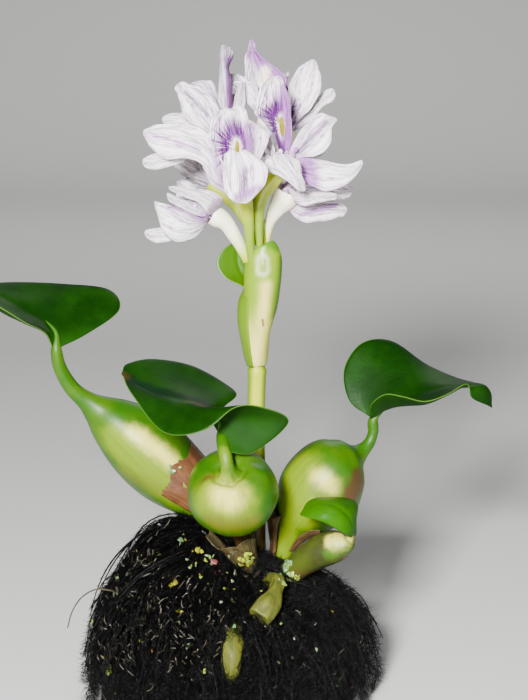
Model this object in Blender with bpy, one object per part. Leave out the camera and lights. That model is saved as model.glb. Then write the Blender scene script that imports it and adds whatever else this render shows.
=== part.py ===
"""Water hyacinth in flower, standing on its own mass of roots.

Lengths are in millimetres and are scaled to metres where a mesh is made. The origin is on the
ground under the crown, +Z is up, and the front of the plant looks along -Y.
"""
import math

import bmesh
import bpy
from mathutils import Matrix, Vector

MM = 0.001

# Driving sizes
GAP = 0.35
STALK_SIDES = 12
TUBE_SIDES = 8
BLADE_THICK = 1.1
PETAL_THICK = 0.8
PETAL_CUP = 0.30
SPATHE_THICK = 0.9
SHEATH_THICK = 0.8
CROWN_HEIGHT = 58.0
JOINT_HEIGHT = 153.5
ROOT_LEFT, ROOT_RIGHT = 70.0, 68.0
ROOT_FRONT, ROOT_BACK = 60.0, 55.0
ROOT_CENTRE = Vector((-12.0, -6.0, 0.0))
ROOT_TOP = 56.0
ROOT_EDGE = 14.0
ROOT_SIDES = 26
SHOULDER_PLACE = Vector((-46.0, -2.0, 0.0))
SHOULDER_RISE, SHOULDER_SPREAD = 25.0, 24.0

# Colours as red, green and blue shares, then roughness
ROOT_BLACK = (0.020, 0.014, 0.010, 0.75)
STEM_BROWN = (0.130, 0.085, 0.040, 0.70)
STUB_GREEN = (0.210, 0.300, 0.070, 0.60)
FLOAT_GREEN = (0.290, 0.470, 0.060, 0.28)
BLADE_GREEN = (0.045, 0.190, 0.030, 0.30)
SHEATH_PINK = (0.380, 0.190, 0.120, 0.60)
STALK_GREEN = (0.520, 0.620, 0.200, 0.40)
SPATHE_CREAM = (0.700, 0.700, 0.360, 0.40)
TUBE_CREAM = (0.700, 0.740, 0.420, 0.45)
PETAL_LILAC = (0.720, 0.600, 0.820, 0.50)


def clear_scene():
    """Take every object out of the open scene."""
    for obj in list(bpy.data.objects):
        bpy.data.objects.remove(obj, do_unlink=True)


def finish_of(name, finish):
    """A plain material with a colour and a roughness."""
    material = bpy.data.materials.new(name + "_finish")
    material.use_nodes = True
    shader = material.node_tree.nodes["Principled BSDF"]
    shader.inputs["Base Color"].default_value = (*finish[:3], 1.0)
    shader.inputs["Roughness"].default_value = finish[3]
    shader.inputs["Metallic"].default_value = 0.0
    return material


def new_object(name, mesh_work, finish):
    """Turn a mesh under work, in millimetres, into a named object in metres."""
    bmesh.ops.scale(mesh_work, vec=(MM, MM, MM), verts=mesh_work.verts)
    mesh = bpy.data.meshes.new(name)
    mesh_work.to_mesh(mesh)
    mesh_work.free()
    mesh.materials.append(finish_of(name, finish))
    mesh.shade_smooth()
    mesh.set_sharp_from_angle(angle=math.radians(50))
    obj = bpy.data.objects.new(name, mesh)
    bpy.context.scene.collection.objects.link(obj)
    return obj


# Smooth lines

def catmull(before, start, end, after, share):
    """A point between start and end on the smooth curve through four points."""
    return 0.5 * (
        2.0 * start
        + (end - before) * share
        + (2.0 * before - 5.0 * start + 4.0 * end - after) * share ** 2
        + (3.0 * start - before - 3.0 * end + after) * share ** 3
    )


def curve_at(points, share):
    """A point on the smooth curve through the points, at a share from 0 to 1 of its spans."""
    place = min(max(share, 0.0), 1.0) * (len(points) - 1)
    span = min(int(place), len(points) - 2)
    start, end = points[span], points[span + 1]
    before = points[span - 1] if span > 0 else 2.0 * start - end
    after = points[span + 2] if span + 2 < len(points) else 2.0 * end - start
    return catmull(before, start, end, after, place - span)


class Spine:
    """A smooth line through the points, with frames that don't twist along it."""

    STEPS = 20

    def __init__(self, points, front=(0.0, -1.0, 0.0)):
        count = (len(points) - 1) * self.STEPS
        knots = [Vector(point) for point in points]
        self.places = [curve_at(knots, i / count) for i in range(count + 1)]
        self.lengths = [0.0]
        for first, second in zip(self.places, self.places[1:]):
            self.lengths.append(self.lengths[-1] + (second - first).length)
        self.length = self.lengths[-1]
        self.ways = []
        self.fronts = []
        side = Vector(front)
        for i in range(count + 1):
            way = (self.places[min(i + 1, count)] - self.places[max(i - 1, 0)]).normalized()
            side = (side - way * side.dot(way)).normalized()
            self.ways.append(way)
            self.fronts.append(side)

    def at(self, distance):
        """Place, direction and front side at a distance along the line."""
        last = len(self.lengths) - 1
        i = 0
        while i < last - 1 and self.lengths[i + 1] < distance:
            i += 1
        span = self.lengths[i + 1] - self.lengths[i]
        share = (distance - self.lengths[i]) / span
        place = self.places[i].lerp(self.places[i + 1], share)
        way = self.ways[i].lerp(self.ways[i + 1], min(max(share, 0.0), 1.0)).normalized()
        front = self.fronts[i]
        front = (front - way * front.dot(way)).normalized()
        return place, way, front

    def ring_point(self, distance, radius, angle):
        """A point round the line; angle 0 is its front side."""
        place, way, front = self.at(distance)
        side = way.cross(front)
        return place + (front * math.cos(angle) + side * math.sin(angle)) * radius


def spread(profile, count):
    """Points spread evenly along the smooth outline of (distance, radius) pairs."""
    outline = Spine([(distance, radius, 0.0) for distance, radius in profile], (0.0, 0.0, 1.0))
    places = [outline.at(outline.length * i / (count - 1))[0] for i in range(count)]
    return [(place.x, place.y) for place in places]


# Shapes

def ring_body(name, spine, profile, rings, sides, finish):
    """A closed round body: rings across a spine, after an outline of distances and radii."""
    work = bmesh.new()
    loops = []
    stations = spread(profile, rings) if rings else profile
    for distance, radius in stations:
        turns = [2.0 * math.pi * k / sides for k in range(sides)]
        loops.append([work.verts.new(spine.ring_point(distance, radius, turn)) for turn in turns])
    for lower, upper in zip(loops, loops[1:]):
        for k in range(sides):
            after = (k + 1) % sides
            work.faces.new((lower[k], lower[after], upper[after], upper[k]))
    work.faces.new(reversed(loops[0]))
    work.faces.new(loops[-1])
    bmesh.ops.recalc_face_normals(work, faces=work.faces)
    return new_object(name, work, finish)


def sheet(name, rows, thick, finish, closed=False):
    """A thin body through a grid of points, thickened both ways; closed joins its two sides."""
    work = bmesh.new()
    grid = [[work.verts.new(point) for point in row] for row in rows]
    across = len(grid[0])
    for lower, upper in zip(grid, grid[1:]):
        for k in range(across if closed else across - 1):
            after = (k + 1) % across
            work.faces.new((lower[k], lower[after], upper[after], upper[k]))
    bmesh.ops.recalc_face_normals(work, faces=work.faces)
    obj = new_object(name, work, finish)
    thicken = obj.modifiers.new("thicken", "SOLIDIFY")
    thicken.thickness = thick * MM
    thicken.offset = 0.0
    return obj


def room_of(obj, clear=GAP):
    """A cutter in the shape of a body, grown all round by the gap that neighbours keep."""
    cutter = bpy.data.objects.new("room_" + obj.name, obj.data.copy())
    bpy.context.scene.collection.objects.link(cutter)
    grow = cutter.modifiers.new("grow", "DISPLACE")
    grow.strength = clear * MM
    grow.mid_level = 0.0
    cutter.hide_render = True
    cutter.display_type = "WIRE"
    return cutter


def cut(obj, cutter):
    """Take the cutter's shape out of a body."""
    trim = obj.modifiers.new("trim", "BOOLEAN")
    trim.operation = "DIFFERENCE"
    trim.solver = "EXACT"
    trim.object = cutter


# The stem and its runners

def rhizome():
    """The short thick stem in the middle of the crown."""
    spine = Spine([(4, 2, 28), (3, 1, 40), (1, 1, 50), (0, 1, CROWN_HEIGHT)])
    profile = [(0, 4), (2, 7), (12, 8.5), (22, 10), (28, 10), (30.5, 7)]
    return ring_body("rhizome", spine, profile, 8, STALK_SIDES, STEM_BROWN)


STUB_PROFILE = [(0, 3.2), (22, 3.6), (32, 5.2), (38, 5.4), (40.5, 4.2)]
OLD_PROFILE = [(0, 3.6), (12, 5.2), (34, 5.4), (50, 3.2)]
RUNNER_SIDES = 10


def runners():
    """Two runners at the front of the crown: one broken off short, one older and longer."""
    stub = Spine([(5, -18, 56), (8.6, -25, 60), (10, -34, 60.4), (7, -44, 56.5), (1.6, -50.5, 50.5)])
    old = Spine([(-10, -54, 52), (-10.5, -61, 44), (-10.5, -66, 30), (-10.5, -66, 12)])
    return [
        ring_body("stolon_stub", stub, STUB_PROFILE, 7, RUNNER_SIDES, STUB_GREEN),
        ring_body("old_stolon", old, OLD_PROFILE, 7, RUNNER_SIDES, STUB_GREEN),
    ]


# Leaves

LEFT_STALK = Spine([
    (-8, 5, 52), (-9.6, 5, 62), (-19.4, 6, 80), (-30.7, 8, 92.9), (-42.9, 10, 103.5),
    (-55.9, 10, 116.7), (-70.6, 8, 129.2), (-78.2, 6, 136), (-85.4, 4, 143.1),
    (-90.3, 2, 152.6), (-91.8, 0.3, 161.2),
])
LEFT_PROFILE = [
    (0, 3.8), (10, 4.0), (24, 5.6), (38, 10.0), (52, 14.8), (68, 17.6), (84, 16.5),
    (98, 12), (108, 7), (116, 4.3), (128, 3.5), (136, 3.2), (142.6, 3.2),
]
FRONT_STALK = Spine([
    (-2.4, -8.6, 52), (-3.2, -11, 62), (-5.5, -15, 74), (-8.2, -19.5, 85), (-9.6, -27.5, 96),
    (-10.3, -35.5, 104.8), (-11.1, -42.5, 112.2), (-12.2, -46.8, 118.2), (-13.2, -46.4, 123.6),
    (-14.3, -43, 128.2), (-15, -39, 131.8),
])
FRONT_CENTRE = 60.5
FRONT_PROFILE = [
    (0, 3.8), (16, 3.9), (29, 4.1), (36.5, 5.0), (FRONT_CENTRE - 20.0, 8.6), (FRONT_CENTRE - 16.5, 13),
    (FRONT_CENTRE - 10, 17.6), (FRONT_CENTRE - 2, 20.2), (FRONT_CENTRE + 5, 19.9),
    (FRONT_CENTRE + 11, 17), (FRONT_CENTRE + 15.5, 12), (FRONT_CENTRE + 16.4, 8),
    (FRONT_CENTRE + 14.8, 5), (FRONT_CENTRE + 15.8, 3.5), (FRONT_CENTRE + 20, 2.8), (92.6, 2.8),
]
RIGHT_STALK = Spine([
    (5.5, 1, 44), (9.6, 2, 53), (14, 2, 63), (19, 3, 76), (27, 4, 89.5), (34.6, 5, 100.5),
    (42.5, 7, 107), (48.5, 9.5, 110.6), (53, 11.2, 114.7), (55, 12, 120), (55, 12, 125.6),
])
RIGHT_PROFILE = [
    (0, 3.8), (12, 4.1), (24, 4.6), (32, 7.5), (40, 13), (50, 17.8), (61, 19.2),
    (70, 17.0), (76.5, 11.5), (80, 6.2), (85, 3.4), (92, 2.5), (98.6, 2.8),
]
YOUNG_STALK = Spine([
    (3, -4, 42), (8, -9, 49), (21, -16, 64.5), (32.6, -24, 74), (40.3, -29, 78),
    (43.3, -30, 81),
])
YOUNG_PROFILE = [(0, 4.0), (12, 4.6), (30, 6.2), (47, 7.6), (56, 6.8), (60.5, 4.4), (63, 2.2)]


def leaf_stalks():
    """The stalks of the four leaves, each swollen into a float."""
    return [
        ring_body("float_left", LEFT_STALK, LEFT_PROFILE, 14, STALK_SIDES, FLOAT_GREEN),
        ring_body("float_front", FRONT_STALK, FRONT_PROFILE, 16, STALK_SIDES, FLOAT_GREEN),
        ring_body("float_right", RIGHT_STALK, RIGHT_PROFILE, 14, STALK_SIDES, FLOAT_GREEN),
        ring_body("float_young", YOUNG_STALK, YOUNG_PROFILE, 9, 12, FLOAT_GREEN),
    ]


LEFT_BLADE = (
    [(-93.4, -1, 163.2), (-96.1, -6, 171.7), (-103.7, -14, 177.4), (-113.1, -16, 183.8),
     (-120.8, -12, 188.1), (-126.4, -4, 190.3), (-130, 3, 191.2)],
    [(-92, 0, 163.2), (-92, 2, 169.5), (-97, 5, 175), (-106, 6, 179.5),
     (-116, 6, 184.4), (-124, 5, 188.6), (-130.2, 4, 191.2)],
    [(-90.0, 1, 163.0), (-78, 9, 167.9), (-64, 20, 177), (-70, 30, 184.5),
     (-92, 32, 186.6), (-114, 22, 189.6), (-130, 5, 191.4)],
)
FRONT_BLADE = (
    [(-13.2, -40, 132.9), (0, -43, 127.5), (14.5, -42, 138.4), (2.8, -47, 145.8), (-9, -54, 147.6),
     (-22, -58, 139.2), (-39.6, -51, 136.6), (-54.5, -37, 149.4), (-59.4, -29, 156.6)],
    [(-15, -39, 132.9), (-15.8, -38.6, 136.6), (-17.5, -37, 139.8), (-22, -35.6, 142.2),
     (-28, -34.4, 145), (-36, -32.4, 147), (-46, -30.4, 149.8), (-55, -28.8, 153.8), (-59.8, -28, 157)],
    [(-16.8, -38, 132.9), (-19.8, -29, 135.8), (-13, -19, 141), (-8.6, -12, 144.5), (-15.5, -6, 148.8),
     (-30.2, -4, 155.4), (-47, -10, 159.6), (-57.6, -21, 160.4), (-59.8, -27, 157.6)],
)
RIGHT_BLADE = (
    [(53.4, 10.4, 126.8), (53.6, 0, 136), (59.1, -8, 143.1), (66.9, -14, 143.6), (76.8, -16, 141.7),
     (87.5, -13, 143.4), (96.8, -6, 146.9), (103.6, -1, 142.9), (108.8, 1.4, 134.8)],
    [(54.4, 12, 126.6), (58, 11, 129.5), (62, 9.5, 132), (68, 8, 134), (76, 6.6, 136),
     (86, 5.6, 138), (95.4, 4.4, 140.4), (103, 3.2, 139.4), (109.2, 2, 134.2)],
    [(54.2, 13.6, 126.6), (44, 18, 133.6), (41.6, 25, 147.2), (50, 31, 158.2), (64.5, 34.5, 158.9),
     (80.4, 30, 149.6), (93.8, 20, 145.2), (103.6, 10, 143.2), (109.4, 2.6, 134.8)],
)
YOUNG_BLADE = (
    [(43.4, -31, 82.4), (42.3, -38, 87.5), (35.4, -42, 91), (26.6, -38, 91.4), (21.3, -31, 91.4)],
    [(43.9, -29.8, 82.6), (41.5, -30.5, 88), (35, -31, 92.6), (27.4, -31, 93.6), (21.1, -30, 92)],
    [(43.9, -28.4, 82.8), (40.5, -21, 92.4), (33, -19.6, 95.4), (25.6, -22.4, 94.6), (21.3, -29, 92.4)],
)


def blade(name, edges, rows, across):
    """A leaf blade: a shallow trough through its near edge, middle vein and far edge."""
    near, middle, far = [[Vector(point) for point in line] for line in edges]
    grid = []
    for i in range(rows + 1):
        along = i / rows
        ends = [curve_at(line, along) for line in (near, middle, far)]
        grid.append([])
        for k in range(across + 1):
            u = k / across
            weights = (1 - u) * (1 - 2 * u), 4 * u * (1 - u), u * (2 * u - 1)
            grid[-1].append(sum((end * w for end, w in zip(ends, weights)), Vector()))
    return sheet(name, grid, BLADE_THICK, BLADE_GREEN)


def leaf_blades():
    """The blades of the four leaves."""
    return [
        blade("blade_left", LEFT_BLADE, 9, 6),
        blade("blade_front", FRONT_BLADE, 13, 6),
        blade("blade_right", RIGHT_BLADE, 11, 6),
        blade("blade_young", YOUNG_BLADE, 7, 5),
    ]


SHEATH_STEPS = 5
SHEATH_STAND_OFF = 1.5


def wrap(name, spine, profile, span, turn, stand_off=SHEATH_STAND_OFF):
    """A withered sheath that stands a little off a stalk, part of the way round it."""
    rows = []
    for i in range(SHEATH_STEPS + 1):
        along = i / SHEATH_STEPS
        distance = span[0] + (span[1] - span[0]) * along
        radius = radius_at(profile, distance) + stand_off * (1 + 0.5 * along)
        turns = [turn[0] + (turn[1] - turn[0]) * k / SHEATH_STEPS for k in range(SHEATH_STEPS + 1)]
        rows.append([spine.ring_point(distance, radius, math.radians(angle)) for angle in turns])
    return sheet(name, rows, SHEATH_THICK, SHEATH_PINK)


def radius_at(profile, distance):
    """The radius of an outline at a distance, by straight steps."""
    for (first, low), (second, high) in zip(profile, profile[1:]):
        if first <= distance <= second:
            return low + (high - low) * (distance - first) / (second - first)
    return profile[-1][1]


def sheaths():
    """The withered sheaths at the feet of three leaf stalks."""
    return [
        wrap("sheath_left", LEFT_STALK, LEFT_PROFILE, (24, 54), (-60, 70)),
        wrap("sheath_front", FRONT_STALK, FRONT_PROFILE, (12, 30), (-80, 80)),
        wrap("sheath_right", RIGHT_STALK, RIGHT_PROFILE, (24, 42), (20, 170)),
    ]


# Flower stalk and the two bracts round it

FLOWER_STALK = Spine([
    (0, 3.6, 50), (0, 2.4, 76), (0, 1, 104), (0, 0, 132), (0.5, 0, JOINT_HEIGHT), (0, 0, 170),
    (2.3, 0, 184.4), (3, 0, 198), (3, 0, 209), (1.4, -0.6, 222), (0.4, 2, 236), (0.4, 5, 248),
])
FLOWER_STALK_PROFILE = [
    (0, 4.6), (26, 4.5), (54, 4.3), (82, 4.1), (99, 4.2), (102, 4.7), (104, 4.5), (105.4, 3.2),
    (120, 3.0), (134, 2.8), (150, 2.6), (160, 2.5), (170, 2.5), (172.5, 2.8), (175.5, 2.2),
    (186, 2.0), (198, 1.6),
]
BRACT_SPINE = Spine([
    (0.4, 0, 156), (0.1, 0, 170), (2.3, 0, 184.4), (3.2, 0, 198.4), (3.8, 0, 207), (5.4, 0, 214),
])
BRACT_PROFILE = [(0, 4.7), (8, 5.4), (18, 6.6), (30, 7.8), (42, 8.6), (50, 8.7), (56, 8.0), (60, 6.6)]
MOUTH_SLANT = 7.0
BRACT_SIDES = 10
BRACT_ROWS = 8


def flower_stalk():
    """The flower stalk, with its joint and the axis that the flowers grow from."""
    return ring_body("peduncle", FLOWER_STALK, FLOWER_STALK_PROFILE, 0, 8, STALK_GREEN)


def upper_spathe():
    """The upper bract: a sheath round the stalk, higher at the right of its mouth."""
    rows = []
    for i in range(BRACT_ROWS + 1):
        along = i / BRACT_ROWS
        row = []
        for k in range(BRACT_SIDES):
            angle = 2.0 * math.pi * k / BRACT_SIDES
            lowered = MOUTH_SLANT * (1 - math.sin(angle)) * along ** 2
            height = BRACT_SPINE.length * along - lowered
            radius = radius_at(BRACT_PROFILE, height) - SPATHE_THICK / 2
            row.append(BRACT_SPINE.ring_point(height, radius, angle))
        rows.append(row)
    return sheet("upper_spathe", rows, SPATHE_THICK, SPATHE_CREAM, closed=True)


def lower_spathe():
    """The lower bract: a strip up the left and back of the upper one, ending in a green lobe."""
    edges = (
        [(-2.6, -5.4, 157), (-5.4, -5.8, 170), (-6.4, -6.6, 182), (-10.5, -3, 191), (-17.3, 2, 201.5),
         (-15, 5.0, 208.5), (-8.8, 6.2, 212.5)],
        [(-5.8, 1.5, 157), (-8.0, 1.5, 170), (-8.8, 2.5, 182), (-10.6, 4.4, 190), (-10.6, 7.0, 201),
         (-9.6, 8, 208), (-7.8, 8, 212.5)],
        [(-2.5, 6.2, 157), (-4.0, 8.2, 170), (-3.4, 9.9, 182), (-2.6, 11, 190), (-0.6, 11.6, 201),
         (-2.4, 10.6, 208), (-6.4, 9, 212.5)],
    )
    return blade_like("lower_spathe", edges)


def blade_like(name, edges):
    """A thin green bract made in the same way as a leaf blade."""
    obj = blade(name, edges, 10, 5)
    obj.data.materials.clear()
    obj.data.materials.append(finish_of(name, FLOAT_GREEN))
    return obj


# Flowers

# Each flower: the points of its tube, the way it faces, the turn of its first petal, and for
# each petal the offsets from the throat of its middle and its tip, half its width and its roll.
FULL_FLOWERS = {
    "front_flower": (
        [(2.2, -4.8, 207.5), (-0.6, -6.2, 213), (-4.6, -9.2, 221), (-9.1, -18, 235.6)],
        (-0.25, -0.62, 0.75), 90,
        [((-1, 1, 20), (-1, 8, 38), 9.5, 0),
         ((-19, -4, 19), (-38, 0, 25), 7.5, 0),
         ((-18, -11.5, 11.5), (-37, -13, 18), 5.6, 0),
         ((1.8, -14, 13), (4, -25, -1), 8.0, 0),
         ((12, -6.2, 6), (19, -10, -4), 6.2, 0),
         ((10, 3.2, 16.3), (9, 3, 33), 4.3, 0)],
    ),
    "right_flower": (
        [(3.2, -5.1, 220), (4.4, -6.4, 227), (8.2, -8, 236), (12.6, -10, 247)],
        (0.25, -0.6, 0.75), 105,
        [((-3, 3, 20), (-2, 11, 39), 9.5, 30),
         ((-7, 8, 11), (-12, 12, 20), 4.5, 0),
         ((-8, -4.5, -1), (-13, -7, -3), 3.0, 0),
         ((2.8, -13.2, 9.5), (9, -19, -7), 7.0, 0),
         ((17, -1, 1.5), (34, -2, 2), 7.2, 0),
         ((11.5, -3, 14.8), (23, -8, 24), 6.2, 0)],
    ),
    "low_right_flower": (
        [(7.9, -1.0, 203), (8.3, 0.6, 212), (9.2, 1.5, 224), (13.5, -1, 238)],
        (0.8, 0.2, 0.45), 90,
        [((9, 5.6, 14), (20, 8.6, 21), 6.7, 0),
         ((15, -1.5, 7.5), (29, -3, 7), 5.5, 0),
         ((12, -8, -3), (23, -14, -4), 4.5, 0),
         ((14, 3, -9), (28, 4, -15), 7.5, -40),
         ((12, 12, -3), (20, 22, -6), 6.5, 0),
         ((5.5, 13.6, 7.6), (10.5, 26, 12), 6.2, 0)],
    ),
    "left_flower": (
        [(-1.8, -1.3, 204), (-6.2, -2, 211), (-11.4, -3.2, 218), (-18.8, -6, 226.7)],
        (-0.85, -0.35, 0.3), 90,
        [((-8, 1, 10), (-19, 3, 15), 5.0, 0),
         ((-9, 12, 7), (-17, 20, 11), 5.5, 0),
         ((-13, 11, -7), (-22, 17, -12), 5.5, 0),
         ((-15, -1, -10), (-31, -2, -13), 6.0, 0),
         ((-13, -13, -4), (-26, -16, 5), 9.0, 0),
         ((-12, -6, 5), (-23, -8, 9), 5.0, 0)],
    ),
    "top_left_flower": (
        [(-3.6, 4.8, 240), (-8, 6.8, 247), (-14.4, 8, 256.8)],
        (-0.5, -0.1, 0.85), 90,
        [((2, 1, 22), (1, 6, 42), 7.0, 60),
         ((2, 11, 12), (4, 22, 20), 6.0, 0),
         ((-9, 10, 12), (-15, 17, 24), 5.0, 0),
         ((-14, 3, 6), (-28, 0, 11), 6.0, 0),
         ((-11, -6, 14), (-23, -7, 25), 8.0, 0),
         ((5, -5, 14), (8, -5, 27), 4.5, 0)],
    ),
}
BACK_FLOWERS = {
    "top_flower": (
        [(0.8, 7.4, 249.6), (3, 9, 257), (4.6, 12, 266.5)],
        (0.0, -0.5, 0.87), 90,
        [((-4, 4, 19), (-6, 4, 36), 9.0, 0),
         ((-10, 8, 11), (-15, 14, 20), 6.0, 0),
         ((-8, 0, 12), (-15, 0, 17), 6.0, 0),
         ((0, -6, 10), (0, -9, 17), 6.0, 0),
         ((6, -3, 11), (9, -4, 16), 6.0, 0),
         ((6, 9, 11), (9, 17, 20), 6.0, 0)],
    ),
    "back_right_flower": (
        [(4.5, 4.6, 240), (9, 8, 250), (14.8, 12, 261)],
        (0.5, 0.2, 0.85), 90,
        [((0, 1, 12), (1, 3, 22), 6.0, 0),
         ((7, -2, 17), (11, -4, 32), 8.0, 0),
         ((11, -2, 6), (22, -4, 6), 6.0, 0),
         ((12, 4, 9), (21, 9, 17), 5.0, 0),
         ((6, 13, 6), (10, 24, 9), 6.0, 0),
         ((-1, 10, 8), (-1, 20, 14), 6.0, 0)],
    ),
    "back_left_flower": (
        [(2.2, 5.0, 208.5), (-3, 10, 218), (-10, 14, 228), (-19.3, 18, 236.4)],
        (-0.5, 0.75, 0.45), 90,
        [((-2, 6, 14), (-4, 12, 27), 7.0, 0),
         ((5, 9, 9), (9, 16, 18), 6.0, 0),
         ((5, 12, 1), (10, 24, -3), 6.0, 0),
         ((-4, 12, -5), (-8, 24, -12), 6.0, 0),
         ((-11, 7, -1), (-22, 12, -4), 6.0, 0),
         ((-9, 3, 8), (-19, 4, 13), 6.0, 0)],
    ),
}
FOOT_RADIUS, THROAT_RADIUS = 1.7, 3.2
# Where the petals stand in the throat: their reach out, their step on from it and half their width
INNER_FOOT = (1.9, 1.0, 1.1)
OUTER_FOOT = (3.5, 0.7, 1.5)
FOOT_RISE, FOOT_LEAN = 3.5, 1.2
PETAL_WIDEST = 0.62
SUNK = 2.5


class Flower:
    """The frame of one flower: its tube, its throat, the way it faces and its petals."""

    def __init__(self, plan):
        tube, faces, turn, self.petals = plan
        self.faces = Vector(faces).normalized()
        self.throat = Vector(tube[-1])
        self.tube = Spine(tube[:-1] + [self.throat - self.faces * 5.0, self.throat])
        up = Vector((0, 0, 1))
        self.up = (up - self.faces * up.dot(self.faces)).normalized()
        self.right = self.up.cross(self.faces)
        self.turn = turn

    def outward(self, slot):
        """The way out from the throat to a petal's foot; slots go anticlockwise from the banner."""
        angle = math.radians(self.turn + 60 * slot)
        return self.right * math.cos(angle) + self.up * math.sin(angle)

    def petal_line(self, slot, sunk):
        """The middle line of a petal from its foot, in the throat or sunk in the tube, to its tip."""
        middle, tip = self.petals[slot][:2]
        out = self.outward(slot)
        reach, step, _ = foot_of(slot)
        foot = self.throat + out * (reach - 0.3 * sunk) + self.faces * (step - sunk)
        start = foot + self.faces * FOOT_RISE + out * FOOT_LEAN
        return [foot, start, self.throat + Vector(middle), self.throat + Vector(tip)]


def foot_of(slot):
    """The foot of a petal: those in even slots stand inside those in odd ones."""
    return INNER_FOOT if slot % 2 == 0 else OUTER_FOOT


def petal_half_width(share, foot, full):
    """Half a petal's width: a narrow foot, its full width past the middle, a rounded tip."""
    if share < PETAL_WIDEST:
        rise = share / PETAL_WIDEST
        return foot + (full - foot) * (3 * rise ** 2 - 2 * rise ** 3) ** 1.6
    fall = (share - PETAL_WIDEST) / (1.0 - PETAL_WIDEST)
    return full * math.sqrt(1.0 - 0.93 * fall ** 2.4)


def petal_rows(flower, slot, rows, across, sunk=0.0):
    """The grid of points of one petal, cupped a little about its middle line."""
    full, roll = flower.petals[slot][2:]
    line = Spine(flower.petal_line(slot, sunk), -flower.outward(slot))
    grid = []
    for i in range(rows + 1):
        share = i / rows
        place, way, face = line.at(line.length * share)
        turned = Matrix.Rotation(math.radians(roll) * min(share * 2.0, 1.0), 3, way) @ face
        side = way.cross(turned)
        half = petal_half_width(share, foot_of(slot)[2], full)
        row = []
        for k in range(across + 1):
            u = 2.0 * k / across - 1.0
            row.append(place + side * (half * u) + turned * (PETAL_CUP * half * u * u))
        grid.append(row)
    return grid


def flower_tube(name, flower):
    """The tube that carries a flower, widening to its throat."""
    length = flower.tube.length
    profile = [(0, FOOT_RADIUS), (0.3 * length, 2.6), (0.7 * length, 3.0), (length, THROAT_RADIUS)]
    return ring_body(name, flower.tube, profile, 5, TUBE_SIDES, TUBE_CREAM)


def full_flowers():
    """The five flowers at the front, with every petal a piece of its own."""
    made = []
    for name, plan in FULL_FLOWERS.items():
        flower = Flower(plan)
        made.append(flower_tube(name + "_tube", flower))
        for slot in range(6):
            label = "_banner_petal" if slot == 0 else f"_petal_{slot}"
            rows = petal_rows(flower, slot, 4, 4)
            made.append(sheet(name + label, rows, PETAL_THICK, PETAL_LILAC))
    return made


def back_flowers():
    """The three flowers at the back, each one solid: its tube with six lobes grown on to it."""
    made = []
    for name, plan in BACK_FLOWERS.items():
        flower = Flower(plan)
        whole = flower_tube(name, flower)
        for slot in range(6):
            rows = petal_rows(flower, slot, 3, 3, SUNK)
            grow_on(whole, sheet(f"lobe_{slot}_of_{name}", rows, PETAL_THICK, PETAL_LILAC))
        made.append(whole)
    return made


def grow_on(obj, lobe):
    """Join a lobe to the body that it grows from."""
    lobe.hide_render = True
    lobe.display_type = "WIRE"
    join = obj.modifiers.new("join", "BOOLEAN")
    join.operation = "UNION"
    join.solver = "EXACT"
    join.object = lobe


# The mass of roots

def root_radius(angle):
    """The reach of the roots from their middle, ragged like locks of wet roots."""
    side = ROOT_RIGHT if math.cos(angle) > 0 else ROOT_LEFT
    deep = ROOT_BACK if math.sin(angle) > 0 else ROOT_FRONT
    oval = side * deep / math.hypot(deep * math.cos(angle), side * math.sin(angle))
    return oval * (1.0 + 0.035 * math.sin(7 * angle + 0.6) + 0.025 * math.sin(13 * angle))


def root_mass():
    """The roots as one ragged mound with a flat underside, high at its left shoulder."""
    work = bmesh.new()
    shares = [0.0, 0.22, 0.42, 0.6, 0.75, 0.87, 0.95, 1.0]
    loops = []
    for share in shares[1:]:
        loop = []
        for k in range(ROOT_SIDES):
            angle = 2.0 * math.pi * k / ROOT_SIDES
            lock = 1.0 + 0.03 * (-1) ** k * share
            reach = root_radius(angle) * share * lock
            place = ROOT_CENTRE + Vector((math.cos(angle), math.sin(angle), 0)) * reach
            loop.append(work.verts.new((place.x, place.y, root_height(place, share))))
        loops.append(loop)
    floor_loop = [work.verts.new((vert.co.x, vert.co.y, 0.0)) for vert in loops[-1]]
    loops.append(floor_loop)
    top = work.verts.new((ROOT_CENTRE.x, ROOT_CENTRE.y, root_height(ROOT_CENTRE, 0.0)))
    for k in range(ROOT_SIDES):
        work.faces.new((top, loops[0][k], loops[0][(k + 1) % ROOT_SIDES]))
    for inner, outer in zip(loops, loops[1:]):
        for k in range(ROOT_SIDES):
            after = (k + 1) % ROOT_SIDES
            work.faces.new((inner[k], outer[k], outer[after], inner[after]))
    work.faces.new(reversed(floor_loop))
    bmesh.ops.recalc_face_normals(work, faces=work.faces)
    return new_object("root_mass", work, ROOT_BLACK)


def root_height(place, share):
    """The height of the roots' upper side at a share of the way out to their edge."""
    from_peak = (place.x - SHOULDER_PLACE.x) ** 2 + (place.y - SHOULDER_PLACE.y) ** 2
    shoulder = SHOULDER_RISE * math.exp(-from_peak / SHOULDER_SPREAD ** 2)
    dome = ROOT_TOP * (1.0 - share ** 5) ** 0.55
    return max(dome + shoulder * (1.0 - share ** 3), ROOT_EDGE)


def build():
    """Make every piece and trim those that meet."""
    clear_scene()
    stem = rhizome()
    stubs = runners()
    stalks = leaf_stalks()
    leaf_blades()
    wraps = sheaths()
    axis = flower_stalk()
    upper_spathe()
    lower_spathe()
    full_flowers()
    back_flowers()
    roots = root_mass()
    stem_room = room_of(stem)
    for obj in stalks + wraps + stubs + [axis]:
        cut(obj, stem_room)
    for obj in [stem] + stubs + stalks:
        cut(roots, room_of(obj))


build()
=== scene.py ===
"""A water hyacinth in flower: leaves, floats, flowers, bracts and roots in place of its plain solids.

Lengths in the tables are in millimetres and are made metres where a point is placed. The origin
is on the ground under the crown, +Z is up, and the front of the plant looks along -Y.
"""
import math

import bpy
import numpy as np
from mathutils import Matrix, Vector, noise


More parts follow.
